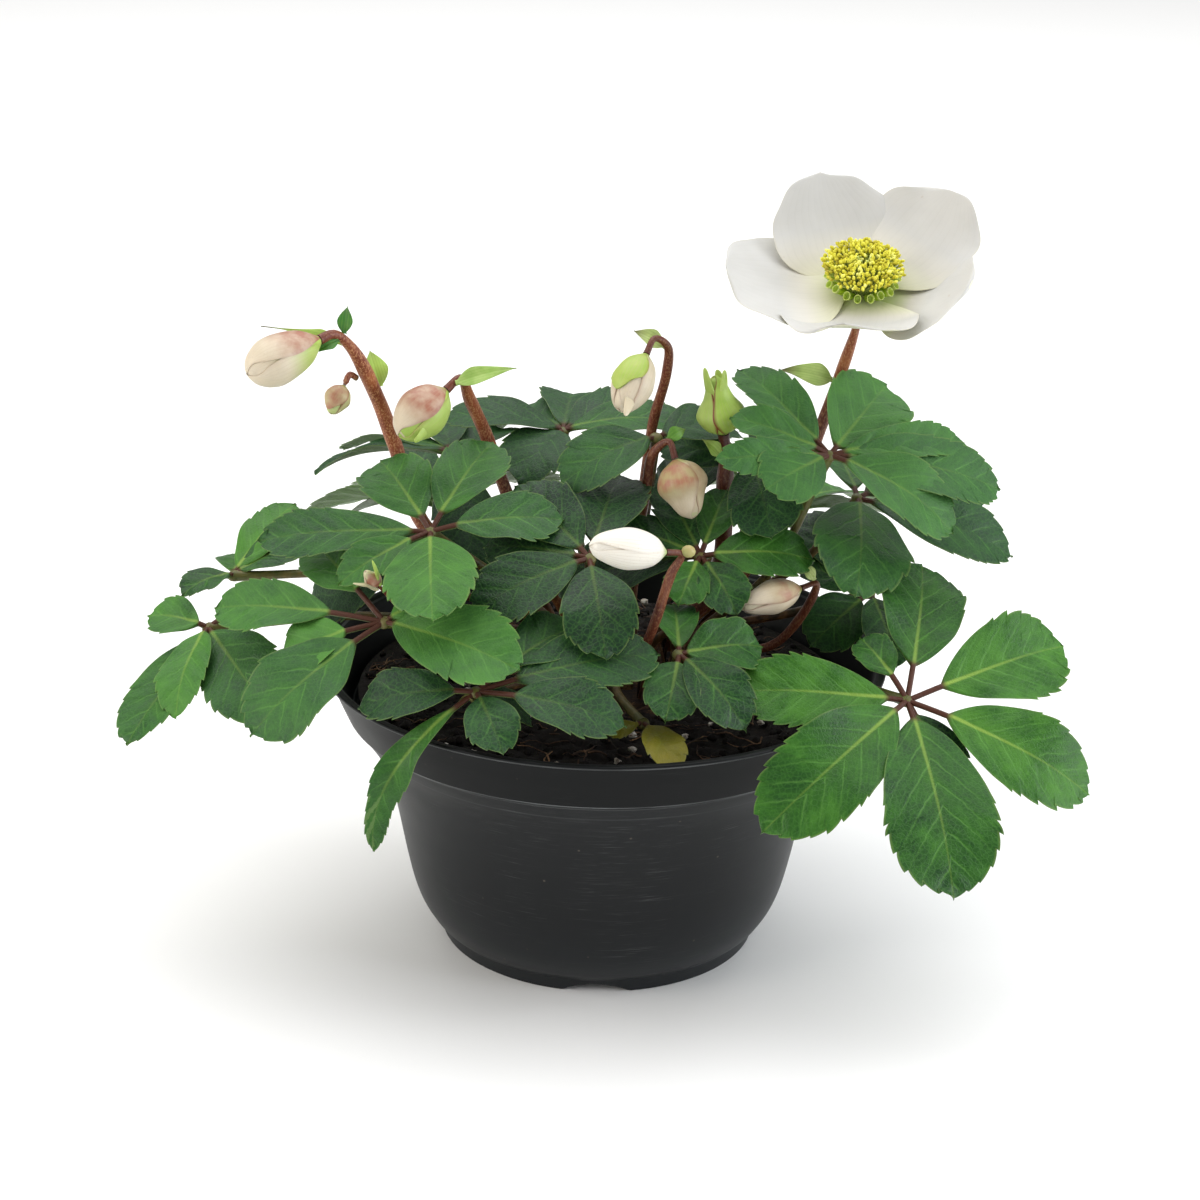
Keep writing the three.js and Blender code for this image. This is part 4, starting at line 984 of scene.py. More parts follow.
# ---------------------------------------------------------------------------------- flower stems
# Stout round flower stems, without leaves, that rise from the crown and bend over below each bud.
# They are as juicy as the petioles: purple-brown with paler specks, and darker at the neck.
STEM_UPRIGHT = 8
STEM_SINK = 1.5  # how far its foot reaches down into the crown
STEM_SIDES = 20
STEM_ROWS = 120
FLOWER_BASE = np.array([81, 10, 223])
FLOWER_TILT = 24 * DEGREE
FLOWER_AXIS = np.array([0, -np.sin(FLOWER_TILT), np.cos(FLOWER_TILT)])
FLOWER_NECK = 12  # how far below its flower the stem is straight
RECEPTACLE_DEPTH = 3.6
GAP = 0.3  # between pieces that touch

# radius, how much painted shade darkens it where the leaves shade it, and the points that it passes. A
# first point of two numbers is where the stem leaves the crown; one of three is on the stem that it
# branches from.
STEMS = {
    "left": (2.5, 0, [
        [-14, 6], [-36, 6, 118], [-61, 7, 142], [-70, 7, 169], [-75, -2, 188], [-82, -15, 208],
        [-87, -21, 214], [-91, -24, 213],
    ]),
    "left_small": (1, 0.3, [[-81, -8, 196], [-83, -10, 197.6], [-84.5, -12, 194.8]]),
    "second": (2.2, 0.15, [
        [-10, 13], [-25, 13, 130], [-35, 15, 155], [-40, 12, 171], [-45, 3, 186], [-48, -6, 196],
        [-52, -9, 193],
    ]),
    "tall": (1.7, 0.45, [
        [9, 18], [11, 22, 130], [13, 22, 155], [15, 19, 174], [19, 12, 194], [19, 8, 204], [14.5, 3, 208],
        [12, -1, 204],
    ]),
    "upright": (2.9, 0.75, [
        [17, 7], [34, 10, 115], [39, 9, 131], [39, 6, 152], [39, 4, 170], [38, 3.6, 176],
    ]),
    "hanging": (1.7, 0.6, [
        [4, 0], [9, 0, 130], [13, -3, 158], [15, -6, 172], [20, -9, 177], [22, -11, 172],
    ]),
    "white": (1.6, 0.55, [
        [8, -14], [10, -34, 108], [14, -44, 121], [17, -48, 132], [21, -50, 147], [24, -52, 154],
        [19, -54.5, 155.5],
    ]),
    "pink": (1.5, 0.6, [[33, -4], [55, -8, 106], [65, -13, 119], [69, -18, 132.5], [64, -21, 132]]),
    "tiny": (1, 0.3, [[-11, -14], [-35, -26, 109], [-59, -36, 122], [-67, -43, 133], [-71.4, -48, 140.2]]),
    "open": (2, 0.35, [
        [26, 13], [44, 18, 118], [55, 20, 134], [64, 22, 149], [71, 25, 171], [76, 24, 188],
        FLOWER_BASE - FLOWER_NECK * FLOWER_AXIS, FLOWER_BASE - (RECEPTACLE_DEPTH + GAP) * FLOWER_AXIS,
    ]),
}


def stem_taper(share):
    """A stem's radius over its length, as a share: it thins by two fifths over its last fifth."""
    return 1 - 0.4 * ease(share, 0.8, 0.97)


def stem_points(route):
    """A stem's route in full: from the crown it first rises straight up."""
    if len(route[0]) == 3:
        return route
    foot = np.array([*route[0], FOOT_HEIGHT])
    return [foot, foot + [0, 0, STEM_UPRIGHT], *route[1:]]


def speckled_stem():
    """A turgid stem: satin purple-brown skin, with paler specks stretched along it."""
    material, tree, shader, place, reach, dark = new_material("speckled_stem", "reach", "dark")
    # A speck is about 0.5 mm wide and 1 mm long.
    upright = add(tree, "Mapping", {"Vector": place, "Scale": (cells(0.5), cells(0.5), cells(1))})
    specks = add(tree, "TexNoise", {"Vector": upright, "Scale": 1, "Detail": 3, "Roughness": 0.6})
    blush = add(tree, "TexNoise", {"Vector": place, "Scale": cells(12), "Detail": 3})
    stops = [(0.3, "#6a2f20"), (0.55, "#8a462e"), (0.75, "#a8643e")]
    colour = add(tree, "ValToRGB", {"Fac": blush}, stops=stops)
    speck = add(tree, "MapRange", {"Value": specks, "From Min": 0.48, "From Max": 0.62, "To Max": 0.75})
    neck = add(tree, "MapRange", {"Value": reach, "From Min": 0.9, "From Max": 1, "To Max": 0.75})
    foot = add(tree, "MapRange", {"Value": reach, "From Max": 0.25, "To Min": 0.5, "To Max": 0})
    # dark is painted shade: stems that stand in the leaves' shade are painted darker.
    for factor, shade in ((speck, "#c59468"), (foot, "#6f7a3a"), (neck, "#4f1c16"), (dark, "#3c1a14")):
        colour = add(tree, "Mix", {"Factor": factor, "A": colour, "B": shade}, data_type="RGBA")
    bump = add(tree, "Bump", {"Strength": 0.35, "Distance": 0.2 * MM, "Height": specks})
    plug(tree, shader, {"Base Color": colour, "Roughness": 0.4, "Normal": bump, "IOR": 1.42})
    return material


stem_material = speckled_stem()
stem_paths = {name: smooth_curve(stem_points(route), STEM_ROWS) for name, (_, _, route) in STEMS.items()}
for name, (radius, dark, route) in STEMS.items():
    share = np.linspace(0, 1, STEM_ROWS)
    path = stem_paths[name].copy()
    grows_from_crown = len(route[0]) == 2
    swelling = 0.5 * np.exp(-share * 25) if grows_from_crown else 0
    path[:, 2] -= STEM_SINK * np.exp(-share * 60) if grows_from_crown else 0
    uneven, collar = 0.03 * np.sin(share * 31), 0.15 * np.exp(-(1 - share) * 40)
    radii = radius * stem_taper(share) * (1 + swelling + uneven + collar)
    stem_skin = shell(swept(path, radii, STEM_SIDES), reach=share[:, None], dark=dark)
    stem = make_object("flower_stem_" + name, [stem_skin], [stem_material])
    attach(stem, "root")
    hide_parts("stem_" + name)


# ------------------------------------------------------------------------------------------ buds
# Closed flowers: five petal-like sepals wrapped over each other, cream to white, flushed pink
# where the sun reaches and lime at the base. Each hangs or stands at the end of its stem.
SEPAL_ROWS = 44
SEPAL_THICKNESS = 0.55
SEPAL_SPAN = 68 * DEGREE  # half the angle that a sepal wraps round the bud
SEPAL_STEP = 144  # degrees from one sepal to the next
SEPAL_LAP = 0.24  # how much deeper each sepal lies than the next one out
SEPAL_COLUMNS = np.array([-1, -0.95, -0.8, -0.55, -0.28, 0, 0.28, 0.55, 0.8, 0.95, 1])
OUTERMOST = 4
VEINS_PER_HALF = 7
CORE_FULLNESS = 0.8
TIP_ROWS = 16
KNOB_SHIFT = np.array([2, 0, 1])
FRONT = direction(-90, 25)

# size: length and diameter. form: share of the length to the widest place, and how full the end is.
# seams: angle of the outermost sepal from the plant's front, how far the seams twist, and how red
# they are. flushes, from the innermost to the outermost sepal: lime, pink, the share of the bud that
# they reach, and how far the sepal itself reaches. pale: how white the sepals are. tips, the free
# ends of sepals: angle from the front, share where it leaves the bud, length, how far it leans out and
# how green it is. knob: radius of the scale round the neck.
BUDS = {
    "left": dict(
        size=(27, 16.2), form=(0.56, 0.93), seams=(50, 16, 0.1), pale=0.1,
        flushes=[(0, 0.3, 0.5, 1), (1, 0, 0.66, 1), (0.1, 0.5, 0.6, 1), (0.9, 0.1, 0.5, 1), (0, 1, 0.6, 1)],
    ),
    "left_small": dict(
        size=(10.5, 9), form=(0.45, 0.8), seams=(20, 10, 0.6), pale=0, flushes=[
            (0.6, 0.3, 1, 1), (0.9, 0.1, 1.2, 1), (0.3, 0.6, 1, 1), (0.5, 0.4, 1, 1), (0.4, 0.9, 1.2, 0.92),
        ],
    ),
    "second": dict(
        size=(22, 17), form=(0.46, 0.88), seams=(42, 8, 0.3), pale=0, tips=[(-52, 0.72, 4.6, 3, 0.9)],
        flushes=[(0.1, 0.4, 0.6, 1), (1, 0, 1.3, 1), (0.1, 0.6, 0.6, 1), (0.9, 0, 1.3, 1), (0, 1, 0.7, 1)],
    ),
    "tall": dict(
        size=(22, 14.5), form=(0.5, 0.86), seams=(52, -10, 0.3), pale=0.1, tips=[(-25, 0.86, 5.5, 3, 0.05)],
        flushes=[
            (0, 0.05, 0.4, 1), (0.1, 0.1, 0.4, 1), (0.1, 0, 0.5, 1), (0.1, 0.1, 0.4, 1), (1, 0.15, 1.3, 0.76),
        ],
    ),
    "upright": dict(
        size=(20.5, 16.5), form=(0.34, 0.62), seams=(58, -14, 1), pale=0,
        tips=[(-48, 0.8, 8, 2, 0.9), (38, 0.8, 6.5, 3, 0.9), (150, 0.84, 4, 1, 0.9)],
        flushes=[(0.9, 0, 1.3, 1), (1, 0, 1.3, 1), (0.9, 0.1, 1.3, 1), (0.9, 0, 1.3, 1), (1, 0, 1.3, 1)],
    ),
    "hanging": dict(
        size=(20, 17), form=(0.42, 0.72), seams=(35, 12, 0.3), pale=0, flushes=[
            (0.3, 0.6, 0.9, 1), (0.2, 0.5, 0.9, 1), (0.3, 0.7, 0.8, 1), (0.25, 0.5, 0.9, 1),
            (0.55, 1, 0.6, 1),
        ],
    ),
    "white": dict(
        size=(27, 13.5), form=(0.45, 0.86), seams=(60, 6, 0.05), pale=0.9, knob=2,
        flushes=[(0, 0, 0.3, 1), (0, 0, 0.3, 1), (0, 0, 0.3, 1), (0, 0, 0.3, 1), (0, 0.05, 0.3, 1)],
    ),
    "pink": dict(
        size=(23, 11.5), form=(0.45, 0.8), seams=(40, 10, 0.4), pale=0.1, flushes=[
            (0.1, 0.4, 0.6, 1), (0.3, 0.3, 0.8, 1), (0.3, 0.35, 0.6, 1), (0.1, 0.25, 0.6, 1),
            (0.3, 0.8, 0.6, 1),
        ],
    ),
    "tiny": dict(
        size=(8, 6), form=(0.4, 0.7), seams=(0, 5, 0.8), pale=0,
        tips=[(60, 0.5, 7, 3, 0.9), (-70, 0.4, 6, 4, 0.2)],
        flushes=[(0.2, 0.9, 1, 1), (0.1, 0.7, 1, 1), (0.3, 0.8, 1, 1), (0, 0.1, 1, 1), (0.1, 1, 1, 0.9)],
    ),
}


def turn_to(axis):
    """The rotation that takes +Z to the axis by the shortest way: I + K + K^2 / (1 + axis.z)."""
    x, y, z = axis
    k = np.array([[0, 0, x], [0, 0, y], [-x, -y, 0]])
    return np.eye(3) + k + k @ k / (1 + z)


def bud_radius(height, size, form, neck):
    """The bud's radius at a height, from a smooth curve: narrow at the neck, full, then a blunt point."""
    length, half = size[0], size[1] / 2
    widest, full = form
    beyond = 1 - widest
    knots = [
        (neck, 0), (0.72 * half, 0.38 * widest * length), (half, widest * length),
        (full * half, (widest + 0.42 * beyond) * length),
        (0.56 * full * half, (widest + 0.84 * beyond) * length), (0.06 * half, length),
    ]
    radius, level = smooth_curve(knots, 80).T
    return np.interp(height, level, radius)


def sepal(number, bud, neck, front):
    """A sepal wrapped round the bud, as rings about +Z.

    Its middle stands at the angle of the outermost sepal less a step for each sepal over it, plus a twist
    up the bud. A point's angle is that plus its column times the half span, which narrows at both
    ends, and its radius is the bud's, less what the sepals over it take up. Its edges bend in and touch
    the sepal below.
    """
    first, twist, red = bud["seams"]
    lime, pink, flushed, reaching = bud["flushes"][number]
    over = OUTERMOST - number
    share = np.linspace(0, 1, SEPAL_ROWS)[:, None]
    v = SEPAL_COLUMNS[None, :]
    span = SEPAL_SPAN * (0.78 + 0.35 * np.sin(np.pi * share**0.8)) * (1 - 0.3 * ease(share, 0.8, 1))
    angle = front + (first - SEPAL_STEP * over + twist * share) * DEGREE + v * span
    end_curve = 0.015 + 0.9 * (1 - reaching)
    height = bud["size"][0] * share * reaching * (1 - 0.02 * over / OUTERMOST) * (1 - end_curve * v**2)
    inset = SEPAL_LAP * over + 0.16 * v**6
    outer = bud_radius(height, bud["size"], bud["form"], neck) - inset * ease(share, 0, 0.3)
    outer = outer + 0.22 * np.sin(angle * 3 + number) * share * (1 - share)
    outer = np.maximum(outer, 0.35)
    inner = np.maximum(outer - SEPAL_THICKNESS * (1 + 0.3 * v**2), 0.05)
    radius = np.concatenate([outer, inner[:, ::-1]], axis=1)
    around = on_both_sides(angle)
    rings = np.stack([radius * np.cos(around), radius * np.sin(around), on_both_sides(height)], axis=-1)
    fade = 1 - ease(share, flushed - 0.3, flushed + 0.15)
    marks = dict(
        lime=np.clip(lime * fade + 0.8 * (1 - ease(share, 0, 0.14)), 0, 1), pink=pink * fade, red=red,
        rim=on_both_sides(np.abs(v)), vein=on_both_sides(v) * VEINS_PER_HALF, pale=bud["pale"],
    )
    return rings, marks


def free_tip(angle, start, length, lean, bud, neck):
    """The loose end of a sepal, as rings about +Z: a flat tongue that leaves the bud and narrows."""
    level = start * bud["size"][0]
    foot = bud_radius(level, bud["size"], bud["form"], neck) - 0.5
    route = [
        (foot - 0.8, level - 3), (foot, level), (foot * 0.8 + 0.6 * lean, level + 0.6 * length),
        (foot * 0.6 + lean, level + length),
    ]
    path = smooth_curve([outwards(angle) * reach + [0, 0, height] for reach, height in route], TIP_ROWS)
    return swept(path, 0.14 + 0.6 * np.sqrt(np.linspace(1, 0, TIP_ROWS)), 10, flat=3)


def bud_sepal():
    """A fleshy petal-like sepal in bud: satin, cream, flushed lime and pink, with faint veins."""
    marks = ("lime", "pink", "rim", "vein", "red", "pale")
    material, tree, shader, place, *read = new_material("bud_sepal", *marks)
    lime, pink, rim, vein, red, pale = read
    cloud = add(tree, "TexNoise", {"Vector": place, "Scale": cells(4), "Detail": 5})
    specks = add(tree, "TexNoise", {"Vector": place, "Scale": cells(0.5), "Detail": 2})
    ripple = add(tree, "Math", {0: vein, 1: 0.5}, operation="PINGPONG")
    line = add(tree, "MapRange", {"Value": ripple, "From Max": 0.16, "To Min": 0.22, "To Max": 0})
    seam = add(tree, "MapRange", {"Value": rim, "From Min": 0.86, "From Max": 0.98})
    seam = add(tree, "Math", {0: seam, 1: red}, operation="MULTIPLY")
    patch = add(tree, "MapRange",
                {"Value": cloud, "From Min": 0.35, "From Max": 0.65, "To Min": 0.5, "To Max": 1.1})
    blush = add(tree, "Math", {0: pink, 1: patch}, operation="MULTIPLY")
    speck = add(tree, "MapRange", {"Value": specks, "From Min": 0.62, "From Max": 0.72, "To Max": 0.2})
    green = add(tree, "Mix", {"Factor": cloud, "A": "#86ab35", "B": "#b4cc66"}, data_type="RGBA")
    colour = add(tree, "Mix", {"Factor": cloud, "A": "#d2c3ab", "B": "#bfb298"}, data_type="RGBA")
    layers = (
        (pale, "#ebe6da"), (lime, green), (blush, "#a06a55"), (line, "#b39f80"), (speck, "#a08c78"),
        (seam, "#7a2f2a"),
    )
    for factor, shade in layers:
        colour = add(tree, "Mix", {"Factor": factor, "A": colour, "B": shade}, data_type="RGBA")
    bump = add(tree, "Bump", {"Strength": 0.3, "Distance": 0.2 * MM, "Height": ripple})
    plug(tree, shader, {
        "Base Color": colour, "Roughness": 0.42, "Normal": bump, "Subsurface Weight": 0.12,
        "Subsurface Radius": (1.0, 0.8, 0.5), "Subsurface Scale": 1.5 * MM, "IOR": 1.42,
    })
    return material


bud_material = bud_sepal()
for name, bud in BUDS.items():
    neck = STEMS[name][0] * stem_taper(1)
    path = stem_paths[name]
    axis = (path[-1] - path[-2]) / np.linalg.norm(path[-1] - path[-2])
    turn, end = turn_to(axis), path[-1] + GAP * axis
    seen = FRONT @ turn
    front = np.arctan2(seen[1], seen[0])
    levels = np.linspace(0, 0.96 * bud["size"][0], 24)
    core_radius = CORE_FULLNESS * bud_radius(levels, bud["size"], bud["form"], neck)
    core = turned(np.column_stack([core_radius, levels]), 20)
    bud_parts = [shell(core @ turn.T + end, lime=bud["flushes"][0][0], rim=0, vein=0.3, pale=bud["pale"])]
    for number in range(len(bud["flushes"])):
        rings, marks = sepal(number, bud, neck, front)
        bud_parts.append(shell(rings @ turn.T + end, **marks))
    for around, start, length, lean, lime in bud.get("tips", ()):
        rings = free_tip(front + around * DEGREE, start, length, lean, bud, neck)
        bud_parts.append(shell(rings @ turn.T + end, lime=lime, rim=0, vein=0.3))
    if "knob" in bud:
        latitude = np.linspace(-NEAR_POLE, NEAR_POLE, 11)
        ball = bud["knob"] * np.column_stack([np.cos(latitude), 1.15 * np.sin(latitude)])
        rings = turned(ball, 20) @ turn.T + path[-9] + KNOB_SHIFT
        bud_parts.append(shell(rings, lime=0.7, pink=0.5, rim=0, vein=0.3))
    made_bud = make_object("closed_" + name, bud_parts, [bud_material])
    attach(made_bud, "root")
    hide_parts("bud_" + name)


# ---------------------------------------------------------------------------------------- bracts
# Thin leaf-like scales on the flower stems, pale lime, folded along their middle and pointed. They
# once wrapped the bud, and they stand off the stem by a narrow base.
BRACT_FACING = direction(-90, 35)
BRACT_ROWS = 48
BRACT_FORM = (0.45, 1.8, 1.6, 1.1)
HAIR_FORM = (0.3, 1.8, 1.1, 2.6)  # for the bract that ends in a long hair
SLIM_FORM = (0.32, 1.8, 1.3, 1.1)
BRACT_BASE = 0.9
BRACT_RIB_PITCH = 0.9
STEM_FACETS = 13  # a bract's place is counted in facets of its stem, from the top

# name, stem, facets of the stem above it, the heading and rise of the side that it stands on, the
# heading and rise that it grows towards, length, width, arch, tone from 0, dark, to 1, pale, how brown
# its tip is, and its outline. Two scales of one name make one piece.
BRACTS = [
    ("left_hair", "left", 1, (188, 24), (188, 14), 26, 5, 1.5, 0.9, 1, HAIR_FORM),
    ("left_upper", "left", 0.75, (50, 78), (70, 72), 8.5, 5, 1, 0.05, 0.3, BRACT_FORM),
    ("left_upper", "left", 0.6, (-60, -60), (-150, -18), 8, 4.5, 1, 0.05, 0, BRACT_FORM),
    ("left_node", "left", 3, (0, 60), (140, 66), 12, 8, 1, 0.95, 0.4, BRACT_FORM),
    ("second", "second", 0.35, (5, 34), (5, 15), 20, 6, 2, 0.6, 0.2, SLIM_FORM),
    ("tall", "tall", 1.5, (190, 40), (185, 30), 11, 6, 1, 0.8, 0.9, BRACT_FORM),
    ("hanging", "hanging", 1, (20, 30), (20, 30), 7, 5, 1, 0.2, 0.5, BRACT_FORM),
    ("pink", "pink", 1, (180, 50), (180, 50), 8, 4, 2, 0.8, 0.3, BRACT_FORM),
    ("open", "open", 3, (185, 12), (185, 12), 18, 8, 2, 0.7, 1, SLIM_FORM),
    ("flower", "open", 0.6, (-40, -8), (-25, 2), 9, 5, 1, 0, 0.2, BRACT_FORM),
    ("upright", "upright", 1, (200, 30), (200, 45), 8, 5, 1, 1, 0.6, BRACT_FORM),
]


def bract_rings(base, aim, length, width, arch, form, random):
    """A bract's rings: a narrow base, widest part of the way up, folded, with a drawn-out tip."""
    share = np.linspace(0, 1, BRACT_ROWS)
    reach, half, _, _ = blade_edge(length, width, form, share)
    half = np.maximum(half, BRACT_BASE * np.exp(-4 * share) + 0.12)
    reach, across = swept_forward([(reach, half), (reach, half)], COLUMNS, 0.2)
    s, v = np.clip(reach / length, 0, 1), COLUMNS[None, :]
    wave = 0.05 * width * np.sin(9 * s + random.uniform(0, 6)) * v**2
    height = 4 * arch * s * (1 - s) + 0.32 * np.abs(across) + wave - 0.9 * s**4
    thickness = 0.14 + (0.45 + 0.9 * np.exp(-9 * s)) * np.sqrt(1 - 0.98 * v**2)
    rings = blade_rings(base, blade_axes(*aim, BRACT_FACING), reach, across, height, thickness)
    return rings, on_both_sides(s), np.abs(across)


def papery_bract():
    """A thin soft bract: pale lime, greener along its ribs, with a dry brown tip."""
    marks = ("reach", "vein", "tone", "brown")
    material, tree, shader, place, reach, vein, tone, brown = new_material("papery_bract", *marks)
    cloud = add(tree, "TexNoise", {"Vector": place, "Scale": cells(3), "Detail": 4})
    ripple = add(tree, "Math", {0: vein, 1: 0.5}, operation="PINGPONG")
    line = add(tree, "MapRange", {"Value": ripple, "From Max": 0.15, "To Min": 0.45, "To Max": 0})
    tip = add(tree, "MapRange", {"Value": reach, "From Min": 0.6, "From Max": 0.95, "To Max": 0.9})
    tip = add(tree, "Math", {0: tip, 1: brown}, operation="MULTIPLY")
    # From a lightness of 1 a bract is all of the palest green.
    lightness = add(tree, "Math", {0: cloud, 1: 0.3, 2: tone}, operation="MULTIPLY_ADD")
    stops = [(0.15, "#2f6a26"), (0.6, "#6f9c30"), (1, "#a5c45c"), (1, "#c3d486")]
    colour = add(tree, "ValToRGB", {"Fac": lightness}, stops=stops)
    for factor, shade in ((line, "#6f9634"), (tip, "#4d3d22")):
        colour = add(tree, "Mix", {"Factor": factor, "A": colour, "B": shade}, data_type="RGBA")
    bump = add(tree, "Bump", {"Strength": 0.25, "Distance": 0.15 * MM, "Height": ripple})
    plug(tree, shader, {"Base Color": colour, "Roughness": 0.45, "Normal": bump, "IOR": 1.42})
    return material


bract_material = papery_bract()
bract_random = np.random.default_rng(8)
bract_skins = {}
for name, stem_name, facets, side, aim, length, width, arch, tone, brown, form in BRACTS:
    path = stem_paths[stem_name]
    share_up = 1 - facets / STEM_FACETS
    at = share_up * (STEM_ROWS - 1)
    point = np.array([np.interp(at, np.arange(STEM_ROWS), path[:, k]) for k in range(3)])
    tangent = path[int(at) + 1] - path[int(at)]
    tangent /= np.linalg.norm(tangent)
    out = direction(*side)
    out -= (out @ tangent) * tangent
    out /= np.linalg.norm(out)
    base = point + out * (STEMS[stem_name][0] * stem_taper(share_up) + 0.1)
    rings, share, across = bract_rings(base, aim, length, width, arch, form, bract_random)
    vein = on_both_sides(across) / BRACT_RIB_PITCH
    skin = shell(rings, reach=share, vein=vein, tone=tone, brown=brown)
    bract_skins.setdefault(name, []).append(skin)
for name, skins in bract_skins.items():
    bract = make_object("scale_" + name, skins, [bract_material])
    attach(bract, "root")
    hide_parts("bract_" + name)


# ----------------------------------------------------------------------------------- open flower
# Five broad white sepals that look like petals, on a small green base. Inside them stand a ring of
# short green nectar tubes, a thick ring of stamens with yellow anthers, and the carpels.
PETAL_SEAT = 4.8
PETAL_LEVEL = 0.9
PETAL_CLAW = 4.6
PETAL_ROWS = 72
PETAL_COLUMNS = np.concatenate([[-1, -0.97], np.linspace(-0.9, 0.9, 19), [0.97, 1]])
FLOWER_TURN = np.array([
    [1, 0, 0],
    [0, np.cos(FLOWER_TILT), -np.sin(FLOWER_TILT)],
    [0, np.sin(FLOWER_TILT), np.cos(FLOWER_TILT)],
])
# heading, rise, length, width, roll, how wavy its edge is, how green its base is, how far it is laid over
# its neighbours, and its outline.
PETALS = [
    (108, 26, 40, 43, -1, 1.0, 0.1, 0, (0.5, 3, 2.1, 0.46)),
    (43, 26, 41, 44, -3, 1.6, 0.2, 1.2, (0.55, 2.8, 2.1, 0.52)),
    (-21, 27, 33, 45, 3, 1, 0.65, -0.8, (0.56, 2.8, 2, 0.5)),
    (-102, 22, 34, 44, 8, 2.2, 0.35, 1.0, (0.6, 2.8, 2.2, 0.5)),
    (184, 12, 41, 50, 4, 1.2, 0.2, 1.8, (0.52, 2.8, 1.9, 0.56)),
]
PETAL_VEINS = 8  # in each half
NECTARY_COUNT = 18
NECTARY_RADII = np.array([0.55, 0.75, 0.95, 1.1, 1.2, 1.25, 1.3, 1.4, 1.5])
NECTARY_HOLLOW = [0.88, 0.8, 0.6]  # its inside from the mouth down, as shares of its outside
STAMEN_COUNT = 430
STAMEN_TURN = 137.5  # degrees from one stamen to the next
STAMEN_SPREAD = 12.3
STAMEN_TOP = 13.9
STAMEN_FALL = 2.6  # how much lower the outermost stamens end
FILAMENT_RADIUS = 0.2
ANTHER_HALF_LENGTH = 0.85
ANTHER_RADII = np.array([0.3, 0.6, 0.66, 0.58, 0.26])
CARPEL_COUNT = 6
CARPEL_HEIGHT = 14.2
CARPEL_ROWS = 18
CARPEL_SHARES = [0, 0.15, 0.4, 0.6, 0.75, 1]
CARPEL_RADII = [0.7, 1.15, 1.2, 0.6, 0.32, 0.3]  # at those shares of its length

flower_random = np.random.default_rng(21)


def in_flower(points):
    """From the flower's own axes to the plant's: turned by the flower's tilt and moved to its base."""
    return points @ FLOWER_TURN.T + FLOWER_BASE


def petal(heading, rise, length, width, roll, wavy, green, over, form, random):
    """One sepal of the open flower, as a shell.

    Its edge is a blade's, round at the tip, with slow dents. The height is a hollow bow along the
    middle, a cup across, waves that grow towards the edge, and a rolled rim.
    """
    place = np.linspace(0, 1, PETAL_ROWS)
    shift = random.uniform(0, 2 * np.pi, 4)
    edges = []
    for side in (0, 1):
        reach, half, out_x, out_y = blade_edge(length, width, form, place)
        dent = 0.02 * width * np.sin(9 * place + shift[side]) * ease(place, 0.3, 0.6)
        dent = dent + 0.008 * width * np.sin(27 * place + shift[2]) * ease(place, 0.4, 0.7)
        edges.append((reach + dent * out_x, np.maximum(half + dent * out_y, PETAL_CLAW * (1 - place))))
    reach, across = swept_forward(edges, PETAL_COLUMNS, 0)
    share, v = np.clip(reach / length, 0, 1), PETAL_COLUMNS[None, :]
    edge = place[:, None] ** 3 + np.abs(v) ** 3
    a = 2 * across / width
    across_wave = 0.55 * np.sin(11 * share + 2 * np.sign(a) + shift[3]) * np.abs(a)
    waves = wavy * (across_wave + 0.35 * np.sin(6 * a + shift[1]))
    height = (
        -16 * share * (1 - share) + 0.045 * width * a**2 * np.sin(np.pi * share) + over
        + waves * edge * ease(share, 0.2, 0.7) - 0.5 * np.maximum(edge - 0.7, 0) ** 2 * share
    )
    thickness = (0.12 + (0.42 + 0.7 * np.exp(-9 * share)) * np.sqrt(1 - 0.98 * v**2)) * np.ones_like(across)
    base = PETAL_SEAT * direction(heading, 0) + [0, 0, PETAL_LEVEL]
    axes = blade_axes(heading, rise, np.array([0, 0, 1.0]), roll)
    rings = blade_rings(base, axes, reach, across, height, thickness)
    both, share = on_both_sides(v), on_both_sides(share)
    return shell(
        in_flower(rings), reach=share, vein=both * PETAL_VEINS + 0.15 * np.sin(9 * share), rim=np.abs(both),
        green=green, under=np.repeat([[0, 1]], len(PETAL_COLUMNS), axis=1),
    )


